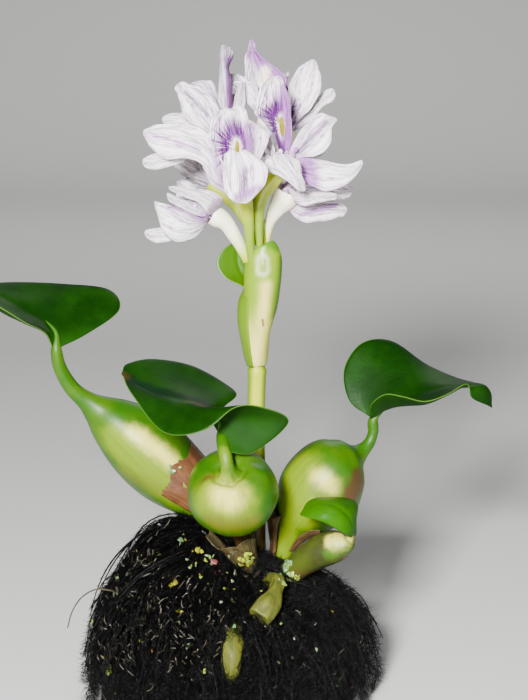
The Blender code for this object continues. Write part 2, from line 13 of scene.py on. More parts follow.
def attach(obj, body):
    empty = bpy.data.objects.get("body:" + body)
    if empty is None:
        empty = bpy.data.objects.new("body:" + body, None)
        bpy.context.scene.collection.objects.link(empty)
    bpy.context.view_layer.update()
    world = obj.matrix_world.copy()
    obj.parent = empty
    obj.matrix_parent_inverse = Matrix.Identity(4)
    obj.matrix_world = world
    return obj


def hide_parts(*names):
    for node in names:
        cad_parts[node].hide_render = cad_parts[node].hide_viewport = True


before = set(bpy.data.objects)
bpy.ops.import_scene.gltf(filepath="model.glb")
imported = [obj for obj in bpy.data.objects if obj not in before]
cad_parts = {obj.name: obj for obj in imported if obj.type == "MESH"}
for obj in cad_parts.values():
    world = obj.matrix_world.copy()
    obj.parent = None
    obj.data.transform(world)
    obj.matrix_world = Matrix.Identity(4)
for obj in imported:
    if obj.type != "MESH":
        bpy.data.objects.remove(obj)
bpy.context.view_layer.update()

bl_info = {
    "name": "Water Hyacinth",
    "version": (1, 0, 0),
    "blender": (4, 5, 0),
    "location": "3D View > Sidebar > Hyacinth",
    "description": "Dresses the solids of a water hyacinth with leaves, flowers and roots",
    "category": "Add Mesh",
}

MM = 0.001
# How close two points of a mesh are, in metres, to be made one
MERGE_WITHIN = 0.000004
BODY = "root"


# Settings that a user may change

def colour(title, note, value):
    """A colour setting."""
    return bpy.props.FloatVectorProperty(
        name=title, description=note, default=value, size=3, min=0.0, max=1.0, subtype="COLOR")


def length(title, note, value, low, high):
    """A length setting, in metres."""
    return bpy.props.FloatProperty(
        name=title, description=note, default=value, min=low, max=high, unit="LENGTH", precision=5)


def share(title, note, value, low, high):
    """A setting with no unit."""
    return bpy.props.FloatProperty(name=title, description=note, default=value, min=low, max=high)


def count(title, note, value, low, high):
    """A setting that counts things."""
    return bpy.props.IntProperty(name=title, description=note, default=value, min=low, max=high)


class HyacinthSizes(bpy.types.PropertyGroup):
    """Thicknesses, widths and numbers of the plant's small features."""

    petal_thick: length("Petal thickness", "Thickness of a petal", 0.0004, 0.0002, 0.001)
    petal_width: share("Petal width", "Width of a petal against its solid", 1.12, 0.8, 1.4)
    petal_ruffle: share("Petal ruffle", "Height of the waves along a petal's edge, in mm", 1.4, 0.0, 3.0)
    blade_thick: length("Leaf thickness", "Thickness of a leaf blade", 0.0009, 0.0004, 0.0015)
    bract_thick: length("Bract thickness", "Thickness of the two bracts", 0.0008, 0.0004, 0.0015)
    sheath_thick: length("Sheath thickness", "Thickness of the withered sheaths", 0.0004, 0.0002, 0.001)
    root_strands: count("Root strands", "Number of main roots in one quarter", 125, 50, 500)
    root_hairs: count("Root hairs", "Number of side hairs in one quarter", 36000, 2000, 42000)
    hair_length: length("Hair length", "Usual length of a side hair", 0.0046, 0.002, 0.012)
    hair_width: length("Hair width", "Width of a side hair at its foot", 0.00024, 0.0001, 0.0006)
    scraps: count("Specks", "Number of small loose scraps on the roots", 260, 0, 600)
    floor_width: length("Floor width", "Width of the floor", 6.0, 1.0, 12.0)


class HyacinthColours(bpy.types.PropertyGroup):
    """The plant's colours."""

    petal_white: colour("Petal", "Petals in full light", (0.97, 0.91, 0.93))
    # The petals' lilac, also painted as shade: along noise folds and on petal halves that turn away from
    # the light
    petal_lilac: colour("Petal lilac", "Petals near the throat, in folds and veins", (0.34, 0.11, 0.42))
    blotch_violet: colour("Blotch", "Feathered blotch of the banner petal", (0.085, 0.003, 0.125))
    # A violet painted as shade: in flowers' throats and along thin crease lines of the petals
    painted_violet_shade: colour("Throat", "Shaded throat of a flower", (0.06, 0.010, 0.085))
    eye_yellow: colour("Eye", "Yellow spot of the banner petal", (0.27, 0.205, 0.0))
    tube_cream: colour("Flower tube", "Flower tube near the throat", (0.86, 0.82, 0.60))
    tube_green: colour("Flower tube foot", "Flower tube near its foot", (0.15, 0.25, 0.0))
    leaf_dark: colour("Leaf", "Upper side of a leaf blade", (0.0016, 0.016, 0.0002))
    leaf_light: colour("Leaf light", "Leaf blade near its foot and veins", (0.006, 0.042, 0.0005))
    leaf_under: colour("Leaf underside", "Under side of a leaf blade", (0.003, 0.020, 0.0005))
    # Painted shade: a dark green laid along a leaf's folded crease, where shade falls
    leaf_painted_shade: colour("Leaf crease", "Dark tissue along a leaf's crease", (0.0015, 0.010, 0.003))
    leaf_edge: colour("Leaf edge", "Thin line along a leaf's edge", (0.08, 0.17, 0.02))
    float_green: colour("Float", "Green skin of a float", (0.014, 0.072, 0.0))
    float_light: colour("Float light", "Yellow-green skin of a float", (0.13, 0.195, 0.0))
    # The palest skin of a float, also laid on as painted highlights where the floats catch the light
    float_pale_and_highlight: colour("Float pale", "Palest skin of a float", (0.60, 0.56, 0.10))
    float_buff: colour("Float underside", "Underside of a float", (0.095, 0.10, 0.005))
    float_dull: colour("Young float", "Dull skin of the young float", (0.024, 0.022, 0.008))
    scar_brown: colour("Scar", "Brown patches on the floats", (0.06, 0.022, 0.008))
    stalk_green: colour("Flower stalk", "Flower stalk", (0.37, 0.42, 0.003))
    bract_cream: colour("Bract", "Lower part of the upper bract", (0.64, 0.53, 0.15))
    bract_green: colour("Bract green", "Rims and top of the bracts", (0.035, 0.125, 0.0))
    bract_dark: colour("Lower bract", "The lower bract", (0.035, 0.10, 0.0))
    sheath_brown: colour("Sheath", "Withered sheaths", (0.10, 0.072, 0.026))
    sheath_pink: colour("Sheath pink", "Thin skin of a fresher sheath", (0.115, 0.046, 0.016))
    sheath_film: colour("Sheath film", "Thin film of a withered sheath", (0.052, 0.047, 0.020))
    root_black: colour("Root", "Wet roots", (0.0010, 0.0009, 0.0010))
    # Lighter patches among the wet roots, partly lighter roots and partly painted sheen of wet hairs; also
    # the second colour of the thick pale roots
    root_brown_and_sheen: colour("Root light", "Lighter roots among the dark ones", (0.005, 0.0045, 0.003))
    root_pale: colour("Root pale", "Thick pale roots", (0.060, 0.050, 0.030))
    runner_green: colour("Runner", "Old runners", (0.040, 0.050, 0.009))
    duckweed_green: colour("Duckweed", "Fresh duckweed", (0.09, 0.20, 0.07))
    duckweed_yellow: colour("Duckweed yellow", "Yellowing duckweed", (0.26, 0.30, 0.004))
    scrap_pink: colour("Pink scrap", "Pink scraps among the roots", (0.25, 0.05, 0.08))
    scrap_brown: colour("Brown scrap", "Dead bits among the roots", (0.09, 0.034, 0.008))
    # Also used for pale specks put where the wet roots glint, as painted highlights
    scrap_buff: colour("Buff scrap", "Pale bits among the roots", (0.13, 0.12, 0.09))
    floor_pale: colour("Floor", "Floor", (0.62, 0.615, 0.60))


def sizes():
    """The sizes now set."""
    return bpy.context.scene.hyacinth_sizes


def paint(name):
    """A colour now set, with full alpha."""
    return (*getattr(bpy.context.scene.hyacinth_colours, name), 1.0)


# Smooth lines

def catmull(before, start, end, after, part):
    """A point between start and end on the smooth curve through four points."""
    return 0.5 * (
        2.0 * start
        + (end - before) * part
        + (2.0 * before - 5.0 * start + 4.0 * end - after) * part ** 2
        + (3.0 * start - before - 3.0 * end + after) * part ** 3
    )


def curve_at(points, part):
    """A point on the smooth curve through the points, at a share from 0 to 1 of its spans."""
    place = min(max(part, 0.0), 1.0) * (len(points) - 1)
    span = min(int(place), len(points) - 2)
    start, end = points[span], points[span + 1]
    before = points[span - 1] if span > 0 else 2.0 * start - end
    after = points[span + 2] if span + 2 < len(points) else 2.0 * end - start
    return catmull(before, start, end, after, place - span)


def smooth(value, low, high):
    """0 below low and 1 above high, with a soft step between them."""
    part = min(max((value - low) / (high - low), 0.0), 1.0)
    return part * part * (3.0 - 2.0 * part)


class Spine:
    """A smooth line through the points, with frames that don't twist along it."""

    STEPS = 24

    def __init__(self, points, front=(0.0, -1.0, 0.0)):
        steps = (len(points) - 1) * self.STEPS
        knots = [Vector(point) for point in points]
        self.places = [curve_at(knots, i / steps) for i in range(steps + 1)]
        self.lengths = [0.0]
        for first, second in zip(self.places, self.places[1:]):
            self.lengths.append(self.lengths[-1] + (second - first).length)
        self.length = self.lengths[-1]
        self.ways = []
        self.fronts = []
        side = Vector(front)
        for i in range(steps + 1):
            way = (self.places[min(i + 1, steps)] - self.places[max(i - 1, 0)]).normalized()
            side = (side - way * side.dot(way)).normalized()
            self.ways.append(way)
            self.fronts.append(side)

    def at(self, distance):
        """Place, direction and front side at a distance along the line."""
        last = len(self.lengths) - 1
        i = min(max(int(np.searchsorted(self.lengths, distance)) - 1, 0), last - 1)
        part = (distance - self.lengths[i]) / (self.lengths[i + 1] - self.lengths[i])
        inside = min(max(part, 0.0), 1.0)
        place = self.places[i].lerp(self.places[i + 1], part)
        way = self.ways[i].lerp(self.ways[i + 1], inside).normalized()
        front = self.fronts[i].lerp(self.fronts[i + 1], inside)
        front = (front - way * front.dot(way)).normalized()
        return place, way, front


def outline_of(profile):
    """The smooth outline through (distance, radius) pairs, as a line to be read at any length."""
    return Spine([(distance, radius, 0.0) for distance, radius in profile], (0.0, 0.0, 1.0))


def radius_at(profile, distance):
    """The radius of an outline at a distance, by straight steps."""
    for (first, low), (second, high) in zip(profile, profile[1:]):
        if first <= distance <= second:
            return low + (high - low) * (distance - first) / (second - first)
    return profile[-1][1]


def turned(way, front, angle):
    """The direction at an angle round a line, where 0 is its front side."""
    return front * math.cos(angle) + way.cross(front) * math.sin(angle)


# Meshes

def choose(piece):
    """Select one piece alone and make it active."""
    bpy.ops.object.select_all(action="DESELECT")
    piece.select_set(True)
    bpy.context.view_layer.objects.active = piece


def grid_piece(name, across, along, place):
    """A flat grid of faces whose every point is carried to its place on the piece."""
    bpy.ops.object.select_all(action="DESELECT")
    bpy.ops.mesh.primitive_grid_add(x_subdivisions=across, y_subdivisions=along, size=2.0)
    piece = bpy.context.active_object
    piece.name = name
    piece.data.name = name
    for vert in piece.data.vertices:
        vert.co = place(vert.co.x, 0.5 + 0.5 * vert.co.y) * MM
    bpy.ops.object.shade_smooth()
    return piece


def edit(piece, step, **settings):
    """Run one step of mesh editing on the whole of a piece."""
    choose(piece)
    bpy.ops.object.mode_set(mode="EDIT")
    bpy.ops.mesh.select_all(action="SELECT")
    step(**settings)
    bpy.ops.object.mode_set(mode="OBJECT")


def merge_points(piece):
    """Merge the points that meet."""
    edit(piece, bpy.ops.mesh.remove_doubles, threshold=MERGE_WITHIN)


def face_out(piece):
    """Point every face outwards."""
    edit(piece, bpy.ops.mesh.normals_make_consistent, inside=False)


def round_piece(name, spine, profile, sides, rings, shape=None):
    """A closed round body about a line; shape changes the radius by angle and distance."""
    outline = outline_of(profile)
    stations = {}

    def place(u, v):
        """A point of the wall: u goes once round, v from end to end."""
        if v not in stations:
            reach = outline.at(outline.length * v)[0]
            stations[v] = (reach.x, reach.y, *spine.at(reach.x))
        distance, radius, middle, way, front = stations[v]
        angle = math.pi * u
        if shape is not None:
            radius *= shape(angle, distance)
        return middle + turned(way, front, angle) * radius

    piece = grid_piece(name, sides, rings, place)
    merge_points(piece)
    face_out(piece)
    return piece


def use_modifier(piece, kind, **settings):
    """Add a modifier and apply it."""
    choose(piece)
    modifier = piece.modifiers.new(kind.lower(), kind)
    for key, value in settings.items():
        setattr(modifier, key, value)
    bpy.ops.object.modifier_apply(modifier=modifier.name)


def thicken(piece, thick, edge, rim, round_about=False):
    """Give a sheet its thickness, thinner along its free edges; a second finish goes underneath."""
    merge_points(piece)
    group = piece.vertex_groups.new(name="thick")
    layer = piece.data.uv_layers.active.data
    for polygon in piece.data.polygons:
        for corner in polygon.loop_indices:
            u, v = layer[corner].uv
            inward = min(v, 1.0 - v) if round_about else min(u, 1.0 - u, v, 1.0 - v)
            group.add([piece.data.loops[corner].vertex_index], smooth(inward, 0.0, rim), "REPLACE")
    second = 1 if len(piece.data.materials) > 1 else 0
    use_modifier(
        piece, "SOLIDIFY", thickness=thick, offset=0.0, vertex_group="thick",
        thickness_vertex_group=edge, material_offset=second, material_offset_rim=second)
    piece.vertex_groups.clear()
    face_out(piece)


def join_pieces(name, pieces):
    """Join several meshes into one piece."""
    choose(pieces[0])
    for piece in pieces[1:]:
        piece.select_set(True)
    bpy.ops.object.join()
    pieces[0].name = name
    pieces[0].data.name = name
    return pieces[0]


def mesh_piece(name, points, faces):
    """A piece from arrays of points, in metres, and of the corners of its faces."""
    mesh = bpy.data.meshes.new(name)
    mesh.from_pydata(points, [], faces)
    piece = bpy.data.objects.new(name, mesh)
    bpy.context.scene.collection.objects.link(piece)
    return piece


def dress(piece, slot, material, *nodes):
    """Give a piece its finish, its body and the solids that it stands for."""
    if material:
        piece.data.materials.append(material)
    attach(piece, BODY)
    if nodes:
        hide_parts(*nodes)
    return piece


# Materials

# The power by which a wash of colour fades faster towards its edge
WASH_FADE = 1.6


class Tone:
    """A value that varies over a piece. Arithmetic with it adds nodes to its material."""

    def __init__(self, painter, socket):
        self.painter = painter
        self.socket = socket

    def __add__(self, other):
        return self.painter.maths("ADD", self, other)

    def __sub__(self, other):
        return self.painter.maths("SUBTRACT", self, other)

    def __rsub__(self, other):
        return self.painter.maths("SUBTRACT", other, self)

    def __mul__(self, other):
        return self.painter.maths("MULTIPLY", self, other)

    def __abs__(self):
        return self.painter.maths("ABSOLUTE", self)


class Paint:
    """Writes the nodes of one material or shared effect, each with its values and links."""

    def __init__(self, tree):
        self.tree = tree

    def node(self, kind, inputs=None, output=0, **settings):
        """Add a node with its settings, fill or link its inputs, and give one of its outputs."""
        made = self.tree.nodes.new(kind)
        for key, value in settings.items():
            setattr(made, key, value)
        for key, value in (inputs or {}).items():
            self.feed(made.inputs[key], value)
        made.location = (180 * (len(self.tree.nodes) % 12), -160 * (len(self.tree.nodes) // 12))
        return Tone(self, made.outputs[output])

    def feed(self, socket, value):
        """Link a socket to a tone, or set its value."""
        if isinstance(value, Tone):
            self.tree.links.new(value.socket, socket)
        else:
            socket.default_value = value

    def maths(self, operation, first, second=0.0, clamp=False):
        """One step of arithmetic."""
        return self.node("ShaderNodeMath", {0: first, 1: second}, operation=operation, use_clamp=clamp)

    def vectors(self, operation, output, inputs):
        """One step of arithmetic with places."""
        return self.node("ShaderNodeVectorMath", inputs, output, operation=operation)

    def blend(self, part, low, high):
        """A colour between two others."""
        return self.node("ShaderNodeMix", {0: part, 6: low, 7: high}, 2, data_type="RGBA")

    def tint(self, base, part, weight, name):
        """The base with one of the plant's colours laid over a part of it."""
        return self.blend(part * weight, base, paint(name))

    def step(self, value, low, high):
        """A soft step from 0 to 1 between two values."""
        return self.node(
            "ShaderNodeMapRange", {0: value, 1: low, 2: high}, interpolation_type="SMOOTHSTEP")

    def noise(self, where, scale, detail=3.0, rough=0.5):
        """Soft noise from 0 to 1."""
        return self.node(
            "ShaderNodeTexNoise", {"Vector": where, "Scale": scale, "Detail": detail, "Roughness": rough})

    def streaks(self, where, across, along, detail=3.0, rough=0.5):
        """Noise drawn out along a sheet, from its scales across and along."""
        drawn = self.node("ShaderNodeMapping", {0: where, 3: (across, along, 1.0)})
        return self.noise(drawn, 1.0, detail, rough)

    def place(self):
        """The place on the piece, in metres."""
        return self.node("ShaderNodeTexCoord", output="Object")

    def sheet(self):
        """The place on a sheet or round its stalk, from 0 to 1 each way."""
        return self.node("ShaderNodeTexCoord", output="UV")

    def axis(self, where, number):
        """One of the three parts of a place."""
        return self.node("ShaderNodeSeparateXYZ", {0: where}, number)

    def joined(self, x, y=0.0):
        """A flat place from its two parts."""
        return self.node("ShaderNodeCombineXYZ", {0: x, 1: y})

    def flattened(self, place):
        """The place as it lies across and up the front of the piece, in metres."""
        ways = (1.0, 0.0, 0.0), tuple(VIEW_UP)
        return self.joined(*[self.vectors("DOT_PRODUCT", "Value", {0: place, 1: way}) for way in ways])

    def stroke(self, where, start, end, low, high, loose):
        """1 close to a short line of the piece and 0 further off, all in millimetres."""
        way = (end - start) * MM
        away = self.vectors("SUBTRACT", "Vector", {0: where, 1: tuple(start * MM)})
        against = tuple(way / max(way.length_squared, 1e-12))
        ahead = self.vectors("DOT_PRODUCT", "Value", {0: away, 1: against})
        ahead = self.maths("MULTIPLY", ahead, 1.0, True)
        closest = self.vectors("SCALE", "Vector", {0: tuple(way), "Scale": ahead})
        reach = self.vectors("DISTANCE", "Value", {0: away, 1: closest}) + loose
        return 1.0 - self.step(reach, low * MM, high * MM)

    def washes(self, base, place, marks, amount, feather=None):
        """Marks of other colours, each along a line seen from the front; feathered ones lie flat."""
        if not marks:
            return base
        ragged = feather or self.noise(place, 110.0, 5.0, 0.65)
        loose = (ragged - 0.5) * (amount * MM)
        where = self.flattened(place) if feather else place
        for x, y, end_x, end_y, depth, low, high, name, weight in marks:
            ends = [seen(x, y, depth), seen(end_x, end_y, depth)]
            if feather:
                ends = [Vector((point.x, point.dot(VIEW_UP), 0.0)) for point in ends]
            mark = self.stroke(where, *ends, low, high, loose)
            if not feather:
                mark = self.maths("POWER", mark, WASH_FADE)
            base = self.tint(base, mark, weight, name)
        return base

    def use(self, name, **inputs):
        """Place a shared effect with its own values."""
        return self.node("ShaderNodeGroup", inputs, node_tree=effect_tree(name))

    def finish(self, base, rough, height=None, strength=0.0, depth=0.0):
        """Feed the shader's colour, roughness and bump, and give the material."""
        self.feed(self.shader["Base Color"], base)
        self.feed(self.shader["Roughness"], rough)
        if height:
            bump = {"Height": height, "Strength": strength, "Distance": depth}
            self.feed(self.shader["Normal"], self.node("ShaderNodeBump", bump))
        return self.material


def new_finish(name, **values):
    """A painter for a new material, with the shader's plain values set."""
    material = bpy.data.materials.new(name)
    material.use_nodes = True
    painter = Paint(material.node_tree)
    painter.material = material
    painter.shader = material.node_tree.nodes["Principled BSDF"].inputs
    for key, value in values.items():
        painter.shader[key.replace("_", " ")].default_value = value
    return painter


def draw_veins(p, sheet, count, width, waver):
    """Fine veins that run from the foot of a leaf or petal to its tip."""
    drift = (p.streaks(sheet, 3.0, 6.0, 2.0) - 0.5) * waver
    turns = (p.axis(sheet, 0) + drift) * count
    fine = 1.0 - p.step(abs(p.maths("SINE", turns * math.pi)), 0.0, width)
    return fine * p.step(p.streaks(sheet, 40.0, 3.0, 2.0), 0.35, 0.6)


def draw_mottle(p, place, scale, first, second, amount):
    """Soft clouds of a second colour over the first."""
    return p.blend(p.step(p.noise(place, scale, 4.0, 0.6), 0.35, 0.68) * amount, first, second)


def draw_specks(p, place, scale, share):
    """Tiny scattered specks."""
    cells = p.node("ShaderNodeTexVoronoi", {"Vector": place, "Scale": scale}, "Color")
    away = cells.socket.node.outputs["Distance"]
    reach = (p.node("ShaderNodeSeparateColor", {0: cells}) - (1.0 - share)) * 1.4
    return p.maths("MULTIPLY", reach - Tone(p, away), 12.0, True)


NUMBER, TINT, PLACE = "NodeSocketFloat", "NodeSocketColor", "NodeSocketVector"
# The effects that several materials share: what draws each, its inputs and its output
EFFECTS = {
    "veins": (
        draw_veins, {"Sheet": PLACE, "Count": NUMBER, "Width": NUMBER, "Waver": NUMBER}, ("Mask", NUMBER)),
    "mottle": (
        draw_mottle, {"Place": PLACE, "Scale": NUMBER, "First": TINT, "Second": TINT, "Amount": NUMBER},
        ("Color", TINT)),
    "specks": (draw_specks, {"Place": PLACE, "Scale": NUMBER, "Share": NUMBER}, ("Mask", NUMBER)),
}


def effect_tree(name):
    """The node group of a shared effect, drawn when it is first asked for."""
    title = "hyacinth_" + name
    if title not in bpy.data.node_groups:
        draw, inputs, output = EFFECTS[name]
        tree = bpy.data.node_groups.new(title, "ShaderNodeTree")
        for key, kind in inputs.items():
            tree.interface.new_socket(key, in_out="INPUT", socket_type=kind)
        tree.interface.new_socket(output[0], in_out="OUTPUT", socket_type=output[1])
        p = Paint(tree)
        source = tree.nodes.new("NodeGroupInput").outputs
        given = {key.lower(): Tone(p, source[key]) for key in inputs}
        p.feed(tree.nodes.new("NodeGroupOutput").inputs[0], draw(p, **given))
    return bpy.data.node_groups[title]


def petal_material(name, kind, marks):
    """A petal: near white, lilac at its foot and veins, with painted shade in lilac along its folds and in
    violet along thin creases, and darker marks of its own, some of them painted shade.
    """
    streak, lilac = PETAL_KINDS[kind]
    p = new_finish(name, Specular_IOR_Level=0.3, Subsurface_Weight=0.05, Subsurface_Scale=0.001)
    where, place = p.sheet(), p.place()
    across, along = p.axis(where, 0), p.axis(where, 1)
    white, shade = paint("petal_white"), paint("petal_lilac")
    base = p.use("mottle", Place=place, Scale=90.0, First=white, Second=shade, Amount=lilac * 0.45)
    # Painted shade: lilac along noise folds, which also raise the bump
    folds = p.streaks(where, 7.0, 2.4, 5.0, 0.6)
    base = p.tint(base, 1.0 - p.step(folds, 0.34, 0.48), 0.40 + 0.5 * lilac, "petal_lilac")
    base = p.tint(base, 1.0 - p.step(along, 0.03, 0.42), 0.40 + 0.5 * lilac, "petal_lilac")
    veins = p.use("veins", Sheet=where, Count=19.0, Width=0.30, Waver=0.06)
    base = p.tint(base, veins, 0.24, "petal_lilac")
    # Painted shade: thin violet crease lines, which also cut into the bump
    line = 1.0 - p.step(abs(p.streaks(where, 4.0, 1.2) - 0.5), 0.0, 0.024)
    base = p.tint(base, line, 0.30, "painted_violet_shade")
    side = abs(across - 0.5)
    feather = p.streaks(where, 34.0, 5.0, 4.0, 0.7)
    middle = 1.0 - p.step(side + (feather - 0.5) * 0.22, 0.0, 0.10)
    stretch = p.step(along, 0.25, 0.42) * (1.0 - p.step(along, 0.72, 0.95))
    base = p.tint(base, middle * stretch, streak, "blotch_violet")
    if kind == "banner":
        base = banner_marks(p, base, across, along)
    base = p.washes(base, place, marks, 7.0, feather)
    base = p.tint(base, p.step(side + feather * 0.03, 0.485, 0.52), 0.30, "petal_lilac")
    height = veins * 0.5 + p.noise(place, 1100.0) * 0.3 + (folds * 3.0 - line)
    return p.finish(base, 0.45, height, 0.8, 0.0010)


def banner_marks(p, base, across, along):
    """The banner's feathered violet blotch, its white comb and its yellow eye."""
    u, v = (across - 0.5) * 2.0, (along - 0.34) * 2.3
    rays = p.noise(p.joined(p.maths("ARCTAN2", u, v) * 7.0), 1.7, 5.0, 0.8) - 0.5
    reach = p.vectors("LENGTH", "Value", {0: p.joined(u, v)})
    halo = 1.0 - p.step(reach + rays * 1.1, 0.70, 1.25)
    base = p.tint(base, halo, 0.45, "petal_lilac")
    blotch = (1.0 - p.step(reach + rays * 2.6, 0.60, 0.92)) * p.step(reach + rays * 1.6, 0.22, 0.36)
    base = p.tint(base, blotch, 1.0, "blotch_violet")
    comb = 1.0 - p.step(reach + rays * 1.6, 0.20, 0.34)
    base = p.tint(base, comb, 0.8, "petal_white")
    core = p.vectors("LENGTH", "Value", {0: p.joined(u * 3.2, v * 1.6)})
    return p.tint(base, 1.0 - p.step(core + rays * 0.15, 0.33, 0.42), 1.0, "eye_yellow")


def tube_material(name, low, high, turn):
    """A flower tube: one colour at its foot, another at its throat."""
    p = new_finish(name, Subsurface_Weight=0.12, Subsurface_Scale=0.002)
    where = p.sheet()
    along = p.axis(where, 1)
    base = p.blend(p.step(along, turn - 0.25, turn + 0.25), paint(low), paint(high))
    base = p.tint(base, p.step(along, 0.78, 1.0), 0.5, "petal_lilac")
    veins = p.use("veins", Sheet=where, Count=12.0, Width=0.5, Waver=0.03)
    return p.finish(p.tint(base, veins, 0.18, "tube_green"), 0.34, veins, 0.3, 0.0003)


def blade_material(name, tint, light, rough, marks=()):
    """A leaf blade: clouded green with fine arching veins, a few specks and a thin pale edge."""
    p = new_finish(name, Specular_IOR_Level=0.06)
    where, place = p.sheet(), p.place()
    base = p.use("mottle", Place=place, Scale=55.0, First=paint(tint), Second=paint(light), Amount=0.50)
    base = p.tint(base, 1.0 - p.step(p.axis(where, 1), 0.0, 0.26), 0.8, "leaf_light")
    # The marks include painted shade along a leaf's crease
    base = p.washes(base, place, marks, 9.0)
    veins = p.use("veins", Sheet=where, Count=62.0, Width=0.30, Waver=0.012)
    base = p.tint(base, veins, 0.30, "leaf_light")
    side = abs(p.axis(where, 0) - 0.5)
    base = p.tint(base, p.step(side, 0.4945, 0.4995), 0.6, "leaf_edge")
    specks = p.use("specks", Place=place, Scale=420.0, Share=0.05)
    base = p.tint(base, specks, 0.35, "scar_brown")
    gloss = p.noise(place, 160.0, 4.0) * 0.20 + (rough - 0.10)
    return p.finish(base, gloss, veins * 0.8 + p.noise(place, 600.0) * 0.5, 0.40, 0.0003)


def float_material(name, tint, marks):
    """A float's skin: soft washes over its first colour, some of them painted highlights, fine lines along
    it and a few specks.
    """
    p = new_finish(
        name, Specular_IOR_Level=0.22, Coat_Weight=0.03, Coat_Roughness=0.30, Subsurface_Weight=0.03,
        Subsurface_Scale=0.003)
    place, first, second = p.place(), paint(tint), paint("float_light")
    base = p.use("mottle", Place=place, Scale=50.0, First=first, Second=second, Amount=0.22)
    base = p.washes(base, place, marks, 8.0)
    lines = p.streaks(p.sheet(), 120.0, 2.5, 5.0, 0.65)
    base = p.tint(base, p.step(lines, 0.44, 0.62), 0.22, "float_green")
    specks = p.use("specks", Place=place, Scale=260.0, Share=0.06)
    base = p.tint(base, specks, 0.7, "scar_brown")
    height = lines * 0.5 + specks * -0.6 + p.noise(place, 800.0) * 0.25
    return p.finish(base, lines * 0.22 + 0.28 + specks * 0.3, height, 0.35, 0.0005)


def stalk_material(name, first, second, span, sides, marks=()):
    """A green stalk or bract: one colour below, another above and at its sides, with fine lines."""
    p = new_finish(
        name, Specular_IOR_Level=0.25, Coat_Weight=0.04, Coat_Roughness=0.25, Subsurface_Weight=0.04,
        Subsurface_Scale=0.002)
    where, place = p.sheet(), p.place()
    across = p.axis(where, 0)
    cloud = (p.noise(place, 60.0) - 0.5) * 0.012
    part = p.step(p.axis(place, 2) + cloud, span[0] * MM, span[1] * MM)
    left, right, weight = sides
    flanks = p.maths(
        "MAXIMUM", 1.0 - p.step(across, left, left + 0.12), p.step(across, right - 0.12, right))
    part = p.maths("MAXIMUM", part, flanks * weight)
    base = p.washes(p.blend(part, paint(first), paint(second)), place, marks, 3.0)
    veins = p.use("veins", Sheet=where, Count=26.0, Width=0.45, Waver=0.02)
    base = p.tint(base, veins, 0.14, second)
    specks = p.use("specks", Place=place, Scale=300.0, Share=0.02)
    base = p.tint(base, specks, 0.6, "scar_brown")
    smear = p.noise(place, 140.0, 4.0)
    return p.finish(base, smear * 0.2 + 0.26, veins + smear, 0.25, 0.0003)


def dead_material(name, first, second, gloss, gaps=0.0, grain=30.0):
    """Withered or corky tissue: two browns in streaks with a torn grain, thin between its fibres."""
    p = new_finish(name, Specular_IOR_Level=0.25, Coat_Weight=0.05, Coat_Roughness=0.25)
    where = p.sheet()
    streaks = p.streaks(where, grain, 3.0, 6.0, 0.7)
    clouds = p.noise(p.place(), 190.0, 5.0, 0.7)
    part = p.step(streaks * 0.6 + clouds * 0.5, 0.4, 0.7)
    if gaps:
        thin = (1.0 - p.step(streaks, 0.42, 0.60)) * gaps
        p.feed(p.shader["Alpha"], 1.0 - thin * p.step(p.axis(where, 1), 0.1, 0.5))
    base = p.blend(part, paint(first), paint(second))
    return p.finish(base, clouds * 0.3 + gloss, streaks + clouds, 0.7, 0.0006)


def root_material(name, first, second, gloss):
    """Wet roots: nearly black, with lighter patches here and there, partly lighter roots and partly painted
    sheen.
    """
    p = new_finish(name, Specular_IOR_Level=0.12)
    place = p.place()
    clouds, fine = p.noise(place, 95.0, 6.0, 0.75), p.noise(place, 900.0, 4.0, 0.7)
    part = p.step(clouds, 0.48, 0.72) * p.step(fine, 0.4, 0.62)
    base = p.blend(part, paint(first), paint(second))
    return p.finish(base, fine * 0.35 + gloss, fine + clouds, 0.8, 0.0012)


def scrap_material(name, tint, other):
    """A scrap of duckweed or dead leaf, clouded with a second colour."""
    p = new_finish(name, Coat_Weight=0.25, Coat_Roughness=0.15)
    place = p.place()
    base = p.tint(paint(tint), p.step(p.noise(place, 110.0, 2.0), 0.40, 0.60), 0.7, other)
    grain = p.noise(place, 1500.0)
    return p.finish(base, grain * 0.3 + 0.2, grain, 0.4, 0.0003)


# The stem, its runners and the leaf stalks: the line of each from its foot to its end, and its profile,
# which gives the radius at distances along that line

RHIZOME_LINE = [(4, 2, 28), (3, 1, 40), (1, 1, 50), (0, 1, 58)]
RHIZOME_PROFILE = [(0, 0), (0.6, 4), (2, 7), (12, 8.6), (22, 10.2), (28, 9.8), (30.5, 7), (31, 0)]
STUB_LINE = [(5, -18, 56), (8.6, -25, 60), (10, -34, 60.4), (7, -44, 56.5), (1.6, -50.5, 50.5)]
STUB_PROFILE = [(0, 0), (0.4, 3.0), (22, 3.4), (31, 5.0), (37, 5.5), (40.0, 5.0), (39.2, 3.5), (38.4, 0)]
OLD_LINE = [
    (-10.4, -36.0, 43.3), (-10.5, -46.0, 41.3), (-10.5, -55.0, 38.9), (-10.7, -58.5, 33.7),
    (-11.0, -57.0, 27.5), (-11.4, -48.0, 18.2),
]
OLD_PROFILE = [(0, 0), (0.3, 3.2), (3, 4.2), (12, 4.9), (24, 4.9), (32, 4.4), (38, 4.0), (39, 0)]

